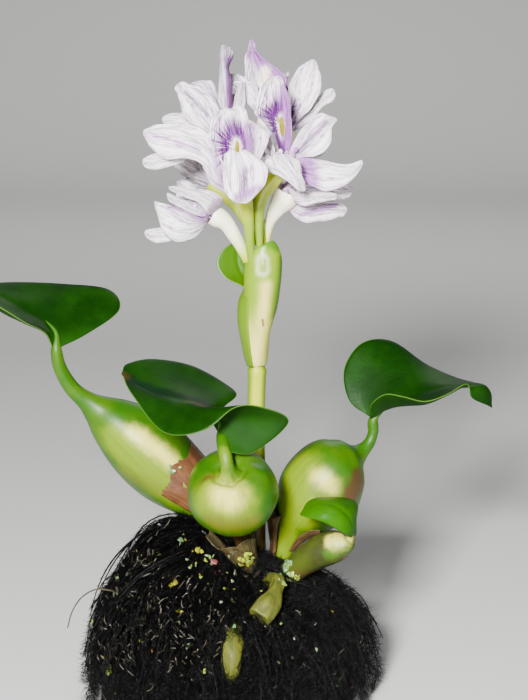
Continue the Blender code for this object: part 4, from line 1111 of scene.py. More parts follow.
# The petals that show from the front. Each row, from foot to tip, holds the first edge, the middle
# and the last edge as the camera sees them: across, down and the depth in millimetres.
SHOWN_PETALS = {
    "front_banner_petal": ("banner", 1.1, 0.5, [
        (231, 192, -19, 235, 194, -18, 239, 192, -19), (218, 178, -21, 235, 172, -17.5, 247, 172, -19),
        (211.5, 153, -22, 237, 150, -17, 250, 152, -19), (209, 134, -21, 236, 136, -15.5, 249.5, 134, -18),
        (212, 121, -18, 233, 122, -13, 248, 117, -15.5),
        (217, 112, -15.5, 231.5, 113, -11.5, 244.5, 109, -13.5),
        (226, 106.5, -12, 230.7, 108.5, -10.7, 236, 105, -11.3)]),
    "front_petal_1": ("plain", -0.9, 0.7, [
        (231, 188, -19, 233, 190, -18, 233, 193, -19), (222, 160, -20, 218, 170, -19, 214, 182, -20),
        (208, 133, -20, 205, 150, -19, 203, 165, -22), (185, 125.5, -20, 186, 142, -21.5, 186, 158, -24),
        (165, 124.5, -19.5, 165, 138, -22, 166, 158.5, -24.5),
        (150, 126, -19, 150, 136, -21.5, 152, 149, -23.5),
        (144.5, 130, -19, 143, 133, -20.5, 146, 139, -22)]),
    "front_petal_2": ("plain", 0.5, 0.5, [
        (228, 190, -19, 229, 192, -19, 230, 195, -19), (212, 170, -18, 210, 178, -17.5, 211, 184, -18),
        (200, 140, -17, 198, 150, -16, 197, 156, -17), (180, 146, -17, 180, 154, -16, 181, 162.5, -17),
        (163, 152, -18, 163, 159, -17.5, 164, 168, -18), (150, 155, -19, 150, 162, -18.5, 152, 169.5, -19),
        (144, 158.5, -19.5, 142.5, 162.5, -19, 145, 167, -19.5)]),
    "front_petal_3": ("streaked", 1.2, 0.6, [
        (232, 192, -19, 235, 193, -19.5, 238, 192, -19), (229, 172, -25, 237, 168, -26, 246, 172, -25),
        (225, 153, -30, 237, 150, -32, 251, 155, -30), (223, 165, -34.5, 243, 163, -34, 265, 164, -33),
        (224, 182, -38, 245, 181, -35.5, 267.5, 178, -35), (227, 195, -38.5, 244, 196, -36, 259, 192, -36),
        (232, 200.5, -37.5, 242, 203.5, -36.5, 251, 201, -35.5)]),
    "front_petal_4": ("plain", 0.4, 0.4, [
        (238, 193, -18, 240, 193, -18.5, 241, 195, -18), (246, 178, -22, 249, 182, -23, 250, 188, -22),
        (255, 168, -26, 257, 176, -27, 256, 187, -26), (263, 168, -27.5, 263, 177, -28.5, 260, 187, -27.5),
        (265, 173, -27.5, 265.5, 178, -28, 263, 184, -27.5)]),
    "front_petal_5": ("streaked", 0.6, 0.9, [
        (237, 190, -17, 239, 191, -16.5, 241, 190, -17), (245, 172, -18, 249, 170, -15, 254, 168, -18),
        (251, 152, -19, 256, 148, -14, 263, 154, -19.5),
        (249.5, 138, -20, 257, 135, -14.5, 268, 141, -20.5), (248, 127, -19, 255, 127, -15, 268, 132, -18),
        (248.5, 120, -17, 252, 121, -16, 257, 126, -17)]),
    "right_banner_petal": ("banner", 1.2, 0.5, [
        (281, 164, -10, 284, 165, -9.5, 286, 164, -10), (276, 140, -12, 282, 146, -8, 291, 146, -10),
        (263, 122, -15, 281.5, 127, -7.5, 292, 128, -10), (253.5, 112, -15, 281, 111, -7, 290, 108, -10),
        (256, 98, -14, 280.5, 97, -6, 287, 92, -9), (263, 84, -11, 279, 83, -4.5, 284, 83, -7),
        (271, 76.5, -6, 277.5, 75.5, -3.5, 281, 77.5, -5)]),
    # Painted shade: this petal, hidden in the throat, takes the violet kind to stand for the throat's shade
    "right_petal_2": ("violet", 0.0, 0.3, [
        (281, 167, -11, 282, 168, -11.5, 283, 169, -11), (272, 158, -12, 274, 161, -13, 276, 164, -12),
        (264, 152, -12, 266, 157, -13.5, 270, 161, -12.5),
        (260, 150, -12, 261, 153, -13, 264, 157, -12.5)]),
    "right_petal_3": ("streaked", 0.5, 0.8, [
        (281, 168, -11, 283, 169, -11.5, 286, 168, -11), (272, 160, -16, 281, 158, -17, 292, 162, -16),
        (265, 163, -21, 279, 153, -22, 297, 159, -20), (267, 168, -24, 284, 162, -26, 301, 168, -22),
        (277, 174, -25.5, 292, 172, -28, 304, 178, -23.5),
        (287, 181, -26, 297, 182, -27.5, 305.5, 186, -24),
        (297, 189.5, -26, 301, 191.5, -26.5, 305, 190.5, -25)]),
    "right_petal_4": ("plain", 0.7, 0.5, [
        (286, 168, -10, 288, 169.5, -9.5, 288, 172, -10), (296, 160, -12, 300, 168, -11, 299, 178, -13),
        (306, 158, -13, 312, 170, -11.5, 313, 187, -15), (322, 160, -13.5, 327, 172, -12.5, 326, 191, -16),
        (337, 164, -13.5, 341, 174, -13, 340, 187.5, -15.5),
        (350, 163.5, -13.5, 353, 171, -13, 352, 180, -14.5),
        (361, 160, -14, 363, 163, -14, 360, 169, -14.5)]),
    "right_petal_5": ("streaked", 1.0, 1.0, [
        (285, 164, -9, 288, 164, -9, 290, 166, -9), (290, 150, -11, 296, 154, -10, 302, 158, -12),
        (297, 136, -13, 306, 143, -11, 312, 157, -14), (306, 124, -15, 316, 133, -12, 325, 151, -15.5),
        (315, 115, -16, 324, 125, -13, 332, 140, -16),
        (323, 114.5, -16.5, 329, 119, -14.5, 330.5, 130, -16.5),
        (334, 117.5, -18, 337, 120, -17.5, 334.5, 122.5, -18)]),
    "low_right_banner_petal": ("streaked", 0.5, 0.4, [
        (286, 182, 2, 288, 182, 2, 290, 183, 2), (292, 165, 5, 298, 168, 5, 304, 172, 5),
        (300, 150, 7, 308, 154, 7, 317, 160, 7), (308, 141, 8, 316, 145, 8, 325, 152, 8),
        (316, 136, 8, 321, 140, 8, 327, 146, 8)]),
    # Painted shade: the bluish kind's extra lilac stands for shade on this petal's underside
    "low_right_petal_1": ("bluish", 0.5, 0.6, [
        (288, 186, 1, 289, 188, 1, 289, 190, 1), (300, 176, 3, 302, 184, 2, 303, 193, 3),
        (318, 174, 4, 319, 185, 3, 320, 197, 4), (335, 178, 4, 336, 188, 3, 336, 200, 4),
        (346, 183, 4, 347, 190, 3.5, 345, 199, 4), (352, 188, 4, 352.5, 191, 4, 350, 196, 4)]),
    "low_right_petal_2": ("streaked", -0.4, 0.5, [
        (286, 190, -2, 288, 193, -2, 289, 197, -2), (290, 188.5, -8, 294, 196, -8, 297, 205, -7),
        (300, 194, -12, 306, 198, -11.5, 306, 205, -10), (312, 193, -14, 316, 197, -13, 317, 203, -12.5),
        (325, 192.5, -15, 327, 196.5, -14.5, 327, 201, -14.5),
        (334.5, 193, -16, 337, 196, -16, 335.5, 199.5, -16)]),
    # Painted shade: the bluish kind's extra lilac stands for shade on this petal's underside
    "low_right_petal_3": ("bluish", 0.6, 1.0, [
        (287, 192, -1, 286.5, 196, -1, 286, 200, -1), (297, 203, 1, 296, 207, 0, 291, 213, 1),
        (312, 204, 2, 311, 211, 0.5, 303, 221.5, 2), (328, 203, 2.5, 327, 210, 1, 320, 222.5, 2.5),
        (340, 203, 3, 339, 209, 1.5, 336, 218, 3), (346, 207, 3, 347, 211, 2.5, 343, 216, 3)]),
    "left_banner_petal": ("bluish", 0.5, 0.5, [
        (219, 206, -8, 217, 210, -9, 214, 214.5, -8), (222, 197, -13, 214, 204, -16, 207, 214, -13),
        (208, 190, -17, 204, 198, -19, 199, 203, -17), (194, 188.5, -19, 190, 194, -20, 186, 198, -19),
        (181, 186.5, -20, 179, 190, -20.5, 177, 194, -20),
        (171, 186, -20.5, 168.5, 187.5, -21, 170.5, 190, -20.5)]),
    "left_petal_3": ("plain", 0.4, 0.4, [
        (211, 216, -6, 210, 218, -6, 209, 220, -6), (197, 220, -6, 196, 226, -6, 197, 232, -6),
        (180, 222, -7, 179, 230, -6.5, 181, 239, -7), (165, 227, -8, 164, 234, -7.5, 166, 242, -8),
        (153, 228.5, -8.5, 152, 235, -8, 155, 242.5, -8.5),
        (146, 230, -9, 144.5, 233.5, -9, 147, 238, -9)]),
    "left_petal_4": ("plain", 0.0, 0.5, [
        (210, 214, -8, 209, 216, -9, 208, 219, -8), (202, 218, -12, 201, 223, -16, 203, 230, -13),
        (190, 213, -15, 189, 225, -21, 192, 239, -16), (176, 206.5, -17, 174, 222, -23.5, 178, 243, -18),
        (164, 203, -18.5, 162.5, 217, -23.5, 166.5, 236, -19),
        (157, 201.5, -19.5, 157, 209, -22, 158.5, 217, -20.5),
        (155, 201, -20.5, 154.5, 203.5, -21, 155, 206, -21)]),
    "left_petal_5": ("violet", 0.6, 0.9, [
        (212, 212, -6, 212, 214, -7, 211, 216, -7), (204, 205, -9, 203, 210, -12, 202, 217, -11),
        (190, 199, -11, 189, 206, -14, 190, 213, -13.5), (177, 196, -13, 177, 201, -15, 178, 207, -15),
        (167.5, 192.5, -14, 167, 196, -15, 169, 201, -15)]),
    "top_left_banner_petal": ("plain", 0.0, 0.4, [
        (222, 138, 7, 224, 138, 6, 226, 138, 7), (219, 122, 10, 225, 120, 4, 231, 121, 10),
        (217.5, 103, 12, 225, 100, 4, 232, 102, 13), (219, 82, 13, 225.5, 80, 4.5, 232, 84, 14),
        (220, 66, 12, 224.5, 66, 6, 229, 68, 12), (220, 54, 11, 224, 52, 6, 233, 58, 12),
        (220.5, 46, 10, 226, 44.5, 8, 234, 52, 12)]),
    "top_left_petal_2": ("violet", 0.4, 0.5, [
        (223, 136, 10, 224, 135, 11, 225, 134, 10), (214, 112, 18, 218, 110, 19, 222, 109, 18),
        (205, 95, 22, 210, 92, 23, 216, 90, 22), (197, 85.5, 24, 203, 83, 24.5, 212, 81, 24),
        (191, 84, 24, 193, 82, 24, 198, 81, 24)]),
    "top_left_petal_3": ("plain", 0.4, 0.4, [
        (222, 140, 7, 221, 141, 7, 220, 142, 7), (207, 124, 9, 207, 131, 8, 207, 137, 9),
        (190, 115, 10, 190, 124, 9, 190, 132, 10), (176, 113, 10, 176, 121, 9, 177, 130, 10),
        (166, 115, 10, 165, 120, 9.5, 167, 127, 10), (162.5, 118, 10, 162, 120.5, 10, 164, 123.5, 10)]),
    "top_left_petal_4": ("streaked", 0.8, 0.8, [
        (223, 136, 5, 222, 138, 5, 221, 140, 5), (222, 122, 3, 215, 128, 1, 209, 134, 3),
        (219, 108, 2, 207, 115, -1, 195, 127, 2), (211, 96, 2, 200, 105, -1, 184, 114.5, 2),
        (201, 87.5, 2.5, 191, 97, 0, 180, 104, 2.5), (190, 84.5, 3, 183, 89, 1.5, 177, 94, 3),
        (184, 81.5, 3, 178.5, 83, 2.5, 174.5, 88, 3)]),
    "top_left_petal_5": ("violet", 0.3, 0.4, [
        (225, 138, 6, 226, 138, 6, 227, 138, 6), (229, 122, 6, 233, 120, 5, 238, 121, 6),
        (233, 106, 6, 239, 104, 5, 245, 106, 6), (236, 93, 6, 241, 91, 5, 245.5, 94, 6),
        (241, 83, 6, 243, 81.5, 6, 245, 83, 6)]),
    "top_banner_petal": ("plain", 0.8, 0.5, [
        (264, 118, 12, 266, 118, 12.5, 268, 118, 12), (252, 108, 10, 264, 104, 15, 279, 104, 11),
        (244.5, 98, 8, 266, 90, 16, 287, 92, 9), (245.5, 84, 7.5, 266, 78, 17, 286, 79, 9),
        (245, 70, 8, 262.5, 67, 17, 278, 70, 11), (245, 57, 10, 257, 57, 16, 266, 61, 13),
        (248, 50, 12, 252, 48, 14, 256.5, 52, 13.5), (249.5, 41, 13, 251.5, 39.5, 14, 255, 43, 14)]),
    "top_petal_3": ("plain", 0.3, 0.4, [
        (264, 119, 10, 266, 119, 9, 268, 119, 10), (259, 110, 6, 266, 109, 4, 273, 110, 6),
        (258, 101, 3, 266, 100, 1, 274, 101, 3), (262, 95, 2, 267, 93, 1.5, 272, 95, 2)]),
    "back_right_petal_1": ("plain", 0.7, 0.3, [
        (287, 129, 11, 289, 129, 11, 291, 130, 11), (287.5, 112, 8, 295, 114, 11, 302, 117, 8),
        (288, 98, 6, 300, 99, 11, 312, 107, 7), (289, 85, 6, 305, 87, 11, 320, 92, 7),
        (297, 70, 7, 309.5, 74, 10.5, 321, 78, 8), (305, 63.5, 8, 312.5, 65, 9.5, 318.5, 69, 8.5),
        (310.5, 60.5, 8.5, 314, 59.5, 9, 316.5, 63, 8.5)]),
    "back_right_petal_2": ("plain", 0.3, 0.3, [
        (290, 131, 12, 291, 132, 12, 292, 133, 12), (298, 117, 13, 300, 121, 12.5, 302, 126, 13),
        (308, 107, 14, 311, 111, 13, 314, 116.5, 14), (317, 98, 14.5, 320, 102, 14, 323.5, 106.5, 14.5),
        (325, 90.5, 15, 328.5, 94, 14.5, 333, 101.5, 15), (331, 88, 15, 334, 90, 15, 335.5, 95, 15)]),
    "back_right_petal_3": ("violet", 0.2, 0.3, [
        (291, 131, 13, 292, 131, 14, 293, 131, 13), (301, 117, 18, 304, 119, 19, 307, 122, 18),
        (310, 108, 21, 313, 110, 22, 317, 113, 21), (317, 104, 22, 319, 106, 22, 321, 108, 22)]),
    "back_left_petal_4": ("violet", 0.3, 0.4, [
        (213, 184, 20, 212, 185, 20, 211, 187, 20), (204, 176, 24, 203, 180, 24, 203, 185, 24),
        (194, 172, 27, 193, 176, 27, 193, 181, 27), (188, 173, 28, 186, 176.5, 28, 187, 182, 28)]),
}

# The camera: where it aims, how far it looks down, its distance, its lens and its picture's size
VIEW_TARGET = Vector((3.7, 0.0, 162.0))
VIEW_RISE = math.radians(12.0)
VIEW_BACK = Vector((0.0, -math.cos(VIEW_RISE), math.sin(VIEW_RISE)))
VIEW_UP = Vector((0.0, math.sin(VIEW_RISE), math.cos(VIEW_RISE)))
VIEW_DISTANCE = 894.0
LENS, PICTURE_WIDTH, PICTURE_HEIGHT, SENSOR_HEIGHT = 100.0, 528, 700, 36.0


def seen(across, down, depth):
    """The place at a depth that the camera sees at a point of its picture."""
    eye = VIEW_TARGET + VIEW_BACK * VIEW_DISTANCE
    focus = LENS / SENSOR_HEIGHT * PICTURE_HEIGHT
    way = -VIEW_BACK * focus
    way += Vector((across - PICTURE_WIDTH / 2, 0.0, 0.0)) + VIEW_UP * (PICTURE_HEIGHT / 2 - down)
    return eye + way * ((depth - eye.y) / way.y)


def seen_lines(rows):
    """The first edge, middle and last edge of a sheet from rows of three seen places."""
    return [[seen(*row[i:i + 3]) for row in rows] for i in (0, 3, 6)]


def petal_finish(name, kind):
    """The finish of a petal: its kind's, or its own where it has marks of its own."""
    marks = PETAL_MARKS.get(name, ())
    title = name + "_finish" if marks else "petal_" + kind
    return bpy.data.materials.get(title) or petal_material(title, kind, marks)


def petal_piece(name, edges, across, along, crease, ruffle, kind):
    """A petal woven on its edges, with crinkles of its own."""
    seed = sum(ord(letter) for letter in name) * 0.37
    shape = petal_shape(seed, crease, ruffle * sizes().petal_ruffle)
    finish = petal_finish(name, kind)
    return woven_sheet(name, edges, across, along, sizes().petal_thick, (finish,), shape, 0.5, 0.06)


# The reach from the throat's middle, the step forward and the half width of a petal's foot
INNER_FOOT = (1.9, 1.0, 1.1)
OUTER_FOOT = (3.5, 0.7, 1.5)
# How far a petal rises and leans out above its foot, and how deep its foot sits in the throat
FOOT_RISE, FOOT_LEAN, FOOT_DEPTH = 3.5, 1.2, 2.0
# How far its edges lift against its half width, and the shares of its length at which it is widest
# and at which its edges are set
PETAL_CUP = 0.30
PETAL_WIDEST = 0.60
PETAL_STATIONS = (0.0, 0.12, 0.3, 0.45, 0.6, 0.75, 0.87, 0.95, 0.99)


class Flower:
    """The frame of one flower: its tube, its throat, the way it faces and its petals."""

    def __init__(self, plan):
        rows, self.skin, faces, turn, self.petals = plan
        self.faces = Vector(faces).normalized()
        self.tube = Spine([seen(*row[:3]) for row in rows])
        self.radii = [row[3] for row in rows]
        self.throat = self.tube.places[-1]
        up = Vector((0, 0, 1))
        self.up = (up - self.faces * up.dot(self.faces)).normalized()
        self.right = self.up.cross(self.faces)
        self.turn = turn

    def outward(self, slot):
        """The way out from the throat to a petal's foot; slots go anticlockwise from the banner."""
        angle = math.radians(self.turn + 60 * slot)
        return self.right * math.cos(angle) + self.up * math.sin(angle)

    def foot(self, slot):
        """The foot of an inner or outer petal."""
        return OUTER_FOOT if slot % 2 else INNER_FOOT

    def petal_line(self, slot):
        """The middle line of a petal from its foot in the throat to its tip."""
        middle, tip = self.petals[slot][:2]
        out = self.outward(slot)
        reach, step, _ = self.foot(slot)
        foot = self.throat + out * reach + self.faces * (step - FOOT_DEPTH)
        start = self.throat + out * (reach + FOOT_LEAN) + self.faces * (step + FOOT_RISE)
        return [foot, start, self.throat + Vector(middle), self.throat + Vector(tip)]

    def petal_edges(self, slot):
        """The edges and midrib of a petal, cupped about its midrib."""
        full = self.petals[slot][2] * sizes().petal_width
        line = Spine(self.petal_line(slot), -self.outward(slot))
        edges = ([], [], [])
        for part in PETAL_STATIONS:
            middle, way, face = line.at(line.length * part)
            half = way.cross(face) * petal_half_width(part, self.foot(slot)[2], full)
            cup = face * (PETAL_CUP * half.length)
            for edge, point in zip(edges, (middle - half + cup, middle, middle + half + cup)):
                edge.append(point)
        return edges


def petal_half_width(part, foot, full):
    """Half a petal's width: a narrow foot, its full width past the middle, a rounded tip."""
    if part < PETAL_WIDEST:
        rise = part / PETAL_WIDEST
        return foot + (full - foot) * (3 * rise ** 2 - 2 * rise ** 3) ** 1.25
    fall = (part - PETAL_WIDEST) / (1.0 - PETAL_WIDEST)
    return full * math.sqrt(max(1.0 - fall ** 2.3, 0.0))


def tube_piece(name, flower):
    """The tube that carries a flower, widening to its throat."""
    long, end = flower.tube.length, flower.radii[-1]
    profile = [(0, 0), (0.3, flower.radii[0] * 0.9)]
    for i, radius in enumerate(flower.radii):
        profile.append((max(flower.tube.lengths[i * Spine.STEPS], 1.0), radius))
    profile += [(long + 0.5, end * 0.92), (long - 2.5, end * 0.5), (long - 5.0, 0)]
    return round_piece(name, flower.tube, profile, 28, 60, soft_lumps(0.06, 0.2))


# A stamen's turn from the one before, the lengths of long and short ones and of the style, and the
# radii of an anther and of the style's knob
STAMEN_TURN = 2.4
LONG_STAMEN, SHORT_STAMEN, STYLE = 13.0, 7.5, 10.0
ANTHER, STYLE_KNOB = 1.15, 0.6


def stamen_pieces(flower):
    """Six stamens and a style in the throat, three long and three short."""
    made = []
    for i in range(7):
        out = flower.right * math.cos(STAMEN_TURN * i) + flower.up * math.sin(STAMEN_TURN * i)
        reach, knob = SHORT_STAMEN if i % 2 else LONG_STAMEN, ANTHER
        if i == 6:
            out, reach, knob = out * 0.2, STYLE, STYLE_KNOB
        foot = flower.throat + out * 1.0 - flower.faces * 2.0
        bend = foot + flower.faces * (reach * 0.6) + out * 1.2
        tip = foot + flower.faces * reach + out * 3.0 + flower.up * 2.0
        spine = Spine([foot, bend, tip])
        long = spine.length
        profile = [(0, 0), (0.1, 0.35), (long * 0.5, 0.28), (long - 2.2, 0.25), (long - 1.6, knob * 0.6),
                   (long - 0.7, knob), (long + 0.2, knob * 0.7), (long + 0.6, 0)]
        made.append(round_piece("stamen", spine, profile, 8, 16))
    return made


# The mass of roots: the middle of its foot, its reach each way and its height without its swells

ROOT_CENTRE = Vector((-12.0, -6.0, 0.0))
ROOT_LEFT, ROOT_RIGHT, ROOT_FRONT, ROOT_BACK = 70.0, 68.0, 60.0, 50.0
ROOT_TOP = 56.0
# Swells of the mound at its left shoulder, along its ridge and round the crown: the place across and
# back, the rise and the spread
SWELLS = ((-46.0, -2.0, 25.0, 24.0), (-24.0, -4.0, 15.0, 14.0), (0.0, -8.0, 11.0, 15.0))
QUARTER = math.pi / 2
# The lowest that a root's middle lies, its number of points and the roots that share one lock
ROOT_FLOOR = 0.8
STRAND_POINTS = 18
ROOTS_A_LOCK = 3
# The share of the hairs that grow on the strands, with the rest in the mat between them
ON_STRANDS = 0.6
HAIR_SIDES = (0.0, 2.0944, 4.1888)
# The dark heart's size against the mound, and the share of its rings that make its wall
HEART_SIZE, HEART_WALL = 0.90, 0.86


def root_surface(angle, lean):
    """Points of the mound of roots, for arrays of the angle round it and the lean from its top."""
    side = np.where(np.cos(angle) > 0, ROOT_RIGHT, ROOT_LEFT)
    deep = np.where(np.sin(angle) > 0, ROOT_BACK, ROOT_FRONT)
    oval = side * deep / np.hypot(deep * np.cos(angle), side * np.sin(angle))
    oval = oval * (1.0 + 0.035 * np.sin(7 * angle + 0.6) + 0.025 * np.sin(13 * angle))
    part = np.sin(lean) ** 0.4
    x = ROOT_CENTRE.x + oval * part * np.cos(angle)
    y = ROOT_CENTRE.y + oval * part * np.sin(angle)
    z = ROOT_TOP * np.cos(lean) ** 1.1
    for across, back, rise, spread in SWELLS:
        away = (x - across) ** 2 + (y - back) ** 2
        z = z + rise * np.exp(-away / spread ** 2) * (1.0 - part ** 3)
    return np.stack([x, y, z], axis=-1)


def unit(ways):
    """Arrays of directions, each made one long."""
    return ways / np.maximum(np.linalg.norm(ways, axis=-1, keepdims=True), 1e-9)


def root_ways(angle, lean):
    """The outward and the downward directions of the mound at arrays of places."""
    step = 0.02
    low = np.clip(lean - step, step, QUARTER)
    high = np.clip(lean + step, step, QUARTER - 0.001)
    down = root_surface(angle, high) - root_surface(angle, low)
    along = root_surface(angle + step, lean) - root_surface(angle - step, lean)
    return unit(np.cross(down, along)), unit(down)


def lifted_roots(angle, lean, lift):
    """Points of roots lifted off the mound but not under the floor, and the outward way at each."""
    normal = root_ways(angle, lean)[0]
    points = root_surface(angle, lean) + normal * lift[..., None]
    points[..., 2] = np.maximum(points[..., 2], ROOT_FLOOR)
    return points, normal


def root_strands(rng, start, stop):
    """Roots over one quarter, gathered in locks: their points and the outward way at each."""
    number = sizes().root_strands
    locks = number // ROOTS_A_LOCK
    lock = rng.integers(0, locks, number)

    def by_lock(low, high, own):
        """A value that the roots of one lock nearly share."""
        return rng.uniform(low, high, locks)[lock][:, None] + rng.normal(0.0, own, (number, 1))

    along = np.linspace(0.0, 1.0, STRAND_POINTS)[None, :]
    phase = by_lock(0.0, 6.28, 0.5)
    angle = by_lock(start, stop, 0.09) + by_lock(-0.28, 0.28, 0.05) * along
    angle = angle + by_lock(0.02, 0.09, 0.01) * np.sin(6.0 * along + phase)
    begin = np.arcsin(np.clip(by_lock(0.12, 1.0, 0.05), 0.1, 0.96) ** 2.5) / QUARTER
    end = np.clip(begin + by_lock(0.28, 0.80, 0.06), 0.1, 0.985)
    lean = (begin + (end - begin) * along ** 1.6) * QUARTER
    lift = by_lock(-4.0, 2.0, 0.7) + 1.5 * np.sin(8.0 * along + phase)
    lift = lift + by_lock(-1.0, 4.5, 0.6) * along ** 3 - 5.0 * (1.0 - along) ** 8
    return lifted_roots(angle, lean, lift)


def strand_mesh(points, radii):
    """Square tubes along lines of points: their vertices and faces."""
    number, steps = points.shape[:2]
    way = unit(np.gradient(points, axis=1))
    side = unit(np.cross(way, np.array([0.3, 0.2, 1.0])))
    other = np.cross(way, side)
    corners = [side + other, other - side, -side - other, side - other]
    verts = np.stack([points + corner * radii for corner in corners], axis=2).reshape(-1, 3)
    corner = np.arange(4)
    after = (corner + 1) % 4
    rows = np.arange(steps - 1)[:, None] * 4
    walls = np.stack([rows + corner, rows + after, rows + 4 + after, rows + 4 + corner], axis=-1)
    ends = [corner[::-1], corner + (steps - 1) * 4]
    pattern = np.concatenate([walls.reshape(-1, 4), ends])
    faces = np.arange(number)[:, None, None] * (steps * 4) + pattern
    return verts, faces.reshape(-1, 4).tolist()


def hair_mesh(feet, ways, lengths, width):
    """Thin three-sided hairs: their vertices and faces."""
    side = unit(np.cross(ways, np.array([0.21, 0.93, 0.31])))
    other = np.cross(ways, side)
    corners = [feet + (side * math.cos(turn) + other * math.sin(turn)) * width for turn in HAIR_SIDES]
    verts = np.stack(corners + [feet + ways * lengths[:, None]], axis=1).reshape(-1, 3)
    base = np.arange(len(feet))[:, None] * 4
    pattern = np.array([[0, 2, 1], [0, 1, 3], [1, 2, 3], [2, 0, 3]])
    return verts, (base[:, :, None] + pattern[None, :, :]).reshape(-1, 3)


def strand_hairs(rng, points, normals, number):
    """Side hairs of the strands: their feet, directions and lengths against the usual one."""
    strands, steps = points.shape[:2]
    strand = rng.integers(0, strands, number)
    spot = rng.uniform(0.0, steps - 1.001, number)
    low = spot.astype(int)
    part = (spot - low)[:, None]
    feet = points[strand, low] * (1 - part) + points[strand, low + 1] * part
    ways = unit(points[strand, low + 1] - points[strand, low])
    out = normals[strand, low]
    flank = unit(np.cross(ways, out)) * rng.choice([-1.0, 1.0], (number, 1))
    turned_out = flank * rng.uniform(0.5, 1.0, (number, 1)) + ways * rng.uniform(0.3, 1.0, (number, 1))
    turned_out = turned_out + out * rng.normal(0.12, 0.30, (number, 1)) + rng.normal(0.0, 0.14, (number, 3))
    return feet, turned_out, rng.uniform(0.45, 1.1, number) * (1.0 - 0.55 * spot / steps)


def mat_hairs(rng, start, stop, number):
    """Hairs of the mat between the strands: their feet, directions and lengths against the usual one."""
    angle = rng.uniform(start, stop, number)
    lean = np.where(
        np.arange(number) % 2, np.arcsin(rng.uniform(0.0, 0.95, number) ** 1.25),
        rng.uniform(0.1, 0.985, number) * QUARTER)
    out, down = root_ways(angle, lean)
    feet = root_surface(angle, lean) + out * rng.uniform(-3.5, 1.0, (number, 1))
    fallen = down * rng.uniform(0.0, 1.2, (number, 1)) + rng.normal(0.0, 0.6, (number, 3)) + out * 0.35
    return feet, fallen, rng.uniform(0.5, 1.5, number)


def root_quarter(name, seed, start, stop):
    """The strands and hairs over one quarter of the mound."""
    rng = np.random.default_rng(seed)
    points, normals = root_strands(rng, start, stop)
    taper = np.linspace(1.0, 0.45, STRAND_POINTS)[None, :, None]
    verts, faces = strand_mesh(points, rng.uniform(0.22, 0.48, (len(points), 1, 1)) * taper)
    hairs = int(sizes().root_hairs * ON_STRANDS)
    grown = strand_hairs(rng, points, normals, hairs)
    loose = mat_hairs(rng, start, stop, sizes().root_hairs - hairs)
    feet, ways, reach = [np.concatenate(pair) for pair in zip(grown, loose)]
    ways = unit(ways)
    reach = reach * sizes().hair_length / MM
    feet[:, 2] += np.maximum(0.25 - (feet[:, 2] + ways[:, 2] * reach), 0.0)
    hair_verts, hair_faces = hair_mesh(feet, ways, reach, sizes().hair_width / MM * 0.5)
    every = np.concatenate([verts, hair_verts]) * MM
    every[:, 2] = np.maximum(every[:, 2], 0.0)
    return mesh_piece(name, every.tolist(), faces + (hair_faces + len(verts)).tolist())


def fine_roots(name):
    """Fine pale rootlets that lie across the dark ones, most of them at the left of the crown."""
    rng = np.random.default_rng(7)
    number, steps = 420, 8
    one = (number, 1)
    left = rng.uniform(0.0, 1.0, one) < 0.6
    angle = np.where(left, rng.uniform(1.0, 1.5, one), rng.uniform(0.0, 2.0, one)) * math.pi
    lean = np.where(left, rng.uniform(0.15, 1.05, one), rng.uniform(0.1, 1.45, one))
    along = np.linspace(0.0, 1.0, steps)[None, :]
    turn = rng.uniform(0.0, 6.3, one) + rng.normal(0.0, 0.8, one) * along
    long = rng.uniform(1.0, 5.0, one) / 55.0 / steps
    angle = angle + np.cumsum(np.cos(turn), axis=1) * long
    lean = np.clip(lean + np.cumsum(np.sin(turn), axis=1) * long, 0.05, 1.5)
    lift = rng.uniform(-0.5, 2.5, one) + np.sin(3.0 * along + turn[:, :1])
    verts, faces = strand_mesh(lifted_roots(angle, lean, lift)[0], rng.uniform(0.05, 0.14, (number, 1, 1)))
    return mesh_piece(name, (verts * MM).tolist(), faces)


def root_core(name):
    """The dark heart of the roots, close under their surface and flat underneath."""
    def place(u, v):
        """A point of the mound: u round it, v from its top to its floor and in to the middle."""
        lean = min(v / HEART_WALL, 1.0) * QUARTER
        point = Vector(root_surface(np.array(math.pi * u), np.array(max(lean, 1e-4))))
        point = ROOT_CENTRE + (point - ROOT_CENTRE) * HEART_SIZE
        rough = noise.fractal(point * 0.14, 0.8, 2.2, 4) * 1.8
        point += (point - ROOT_CENTRE).normalized() * rough
        point.z = max(point.z, 0.0)
        if v > HEART_WALL:
            point = ROOT_CENTRE + (point - ROOT_CENTRE) * ((1.0 - v) / (1.0 - HEART_WALL))
            point.z = 0.0
        return point

    piece = grid_piece(name, 120, 90, place)
    merge_points(piece)
    face_out(piece)
    return piece


# Thick pale roots: the first and last radius, and their line as the camera sees it
PALE_ROOTS = (
    (1.3, 0.6, [(120, 592), (116, 606), (112, 622), (111, 640)]),
    (1.5, 0.8, [(118, 645), (108, 660), (98, 674), (90, 688)]),
    (1.1, 0.5, [(329, 608), (340, 624), (352, 640), (370, 663)]),
    (0.4, 0.3, [(342, 636), (328, 648), (312, 663)]),
    (0.42, 0.3, [(122, 594), (108, 590), (94, 590), (81, 598), (72, 612), (68, 626)]),
    (0.8, 0.5, [(262, 568), (254, 578), (243, 590)]),
)
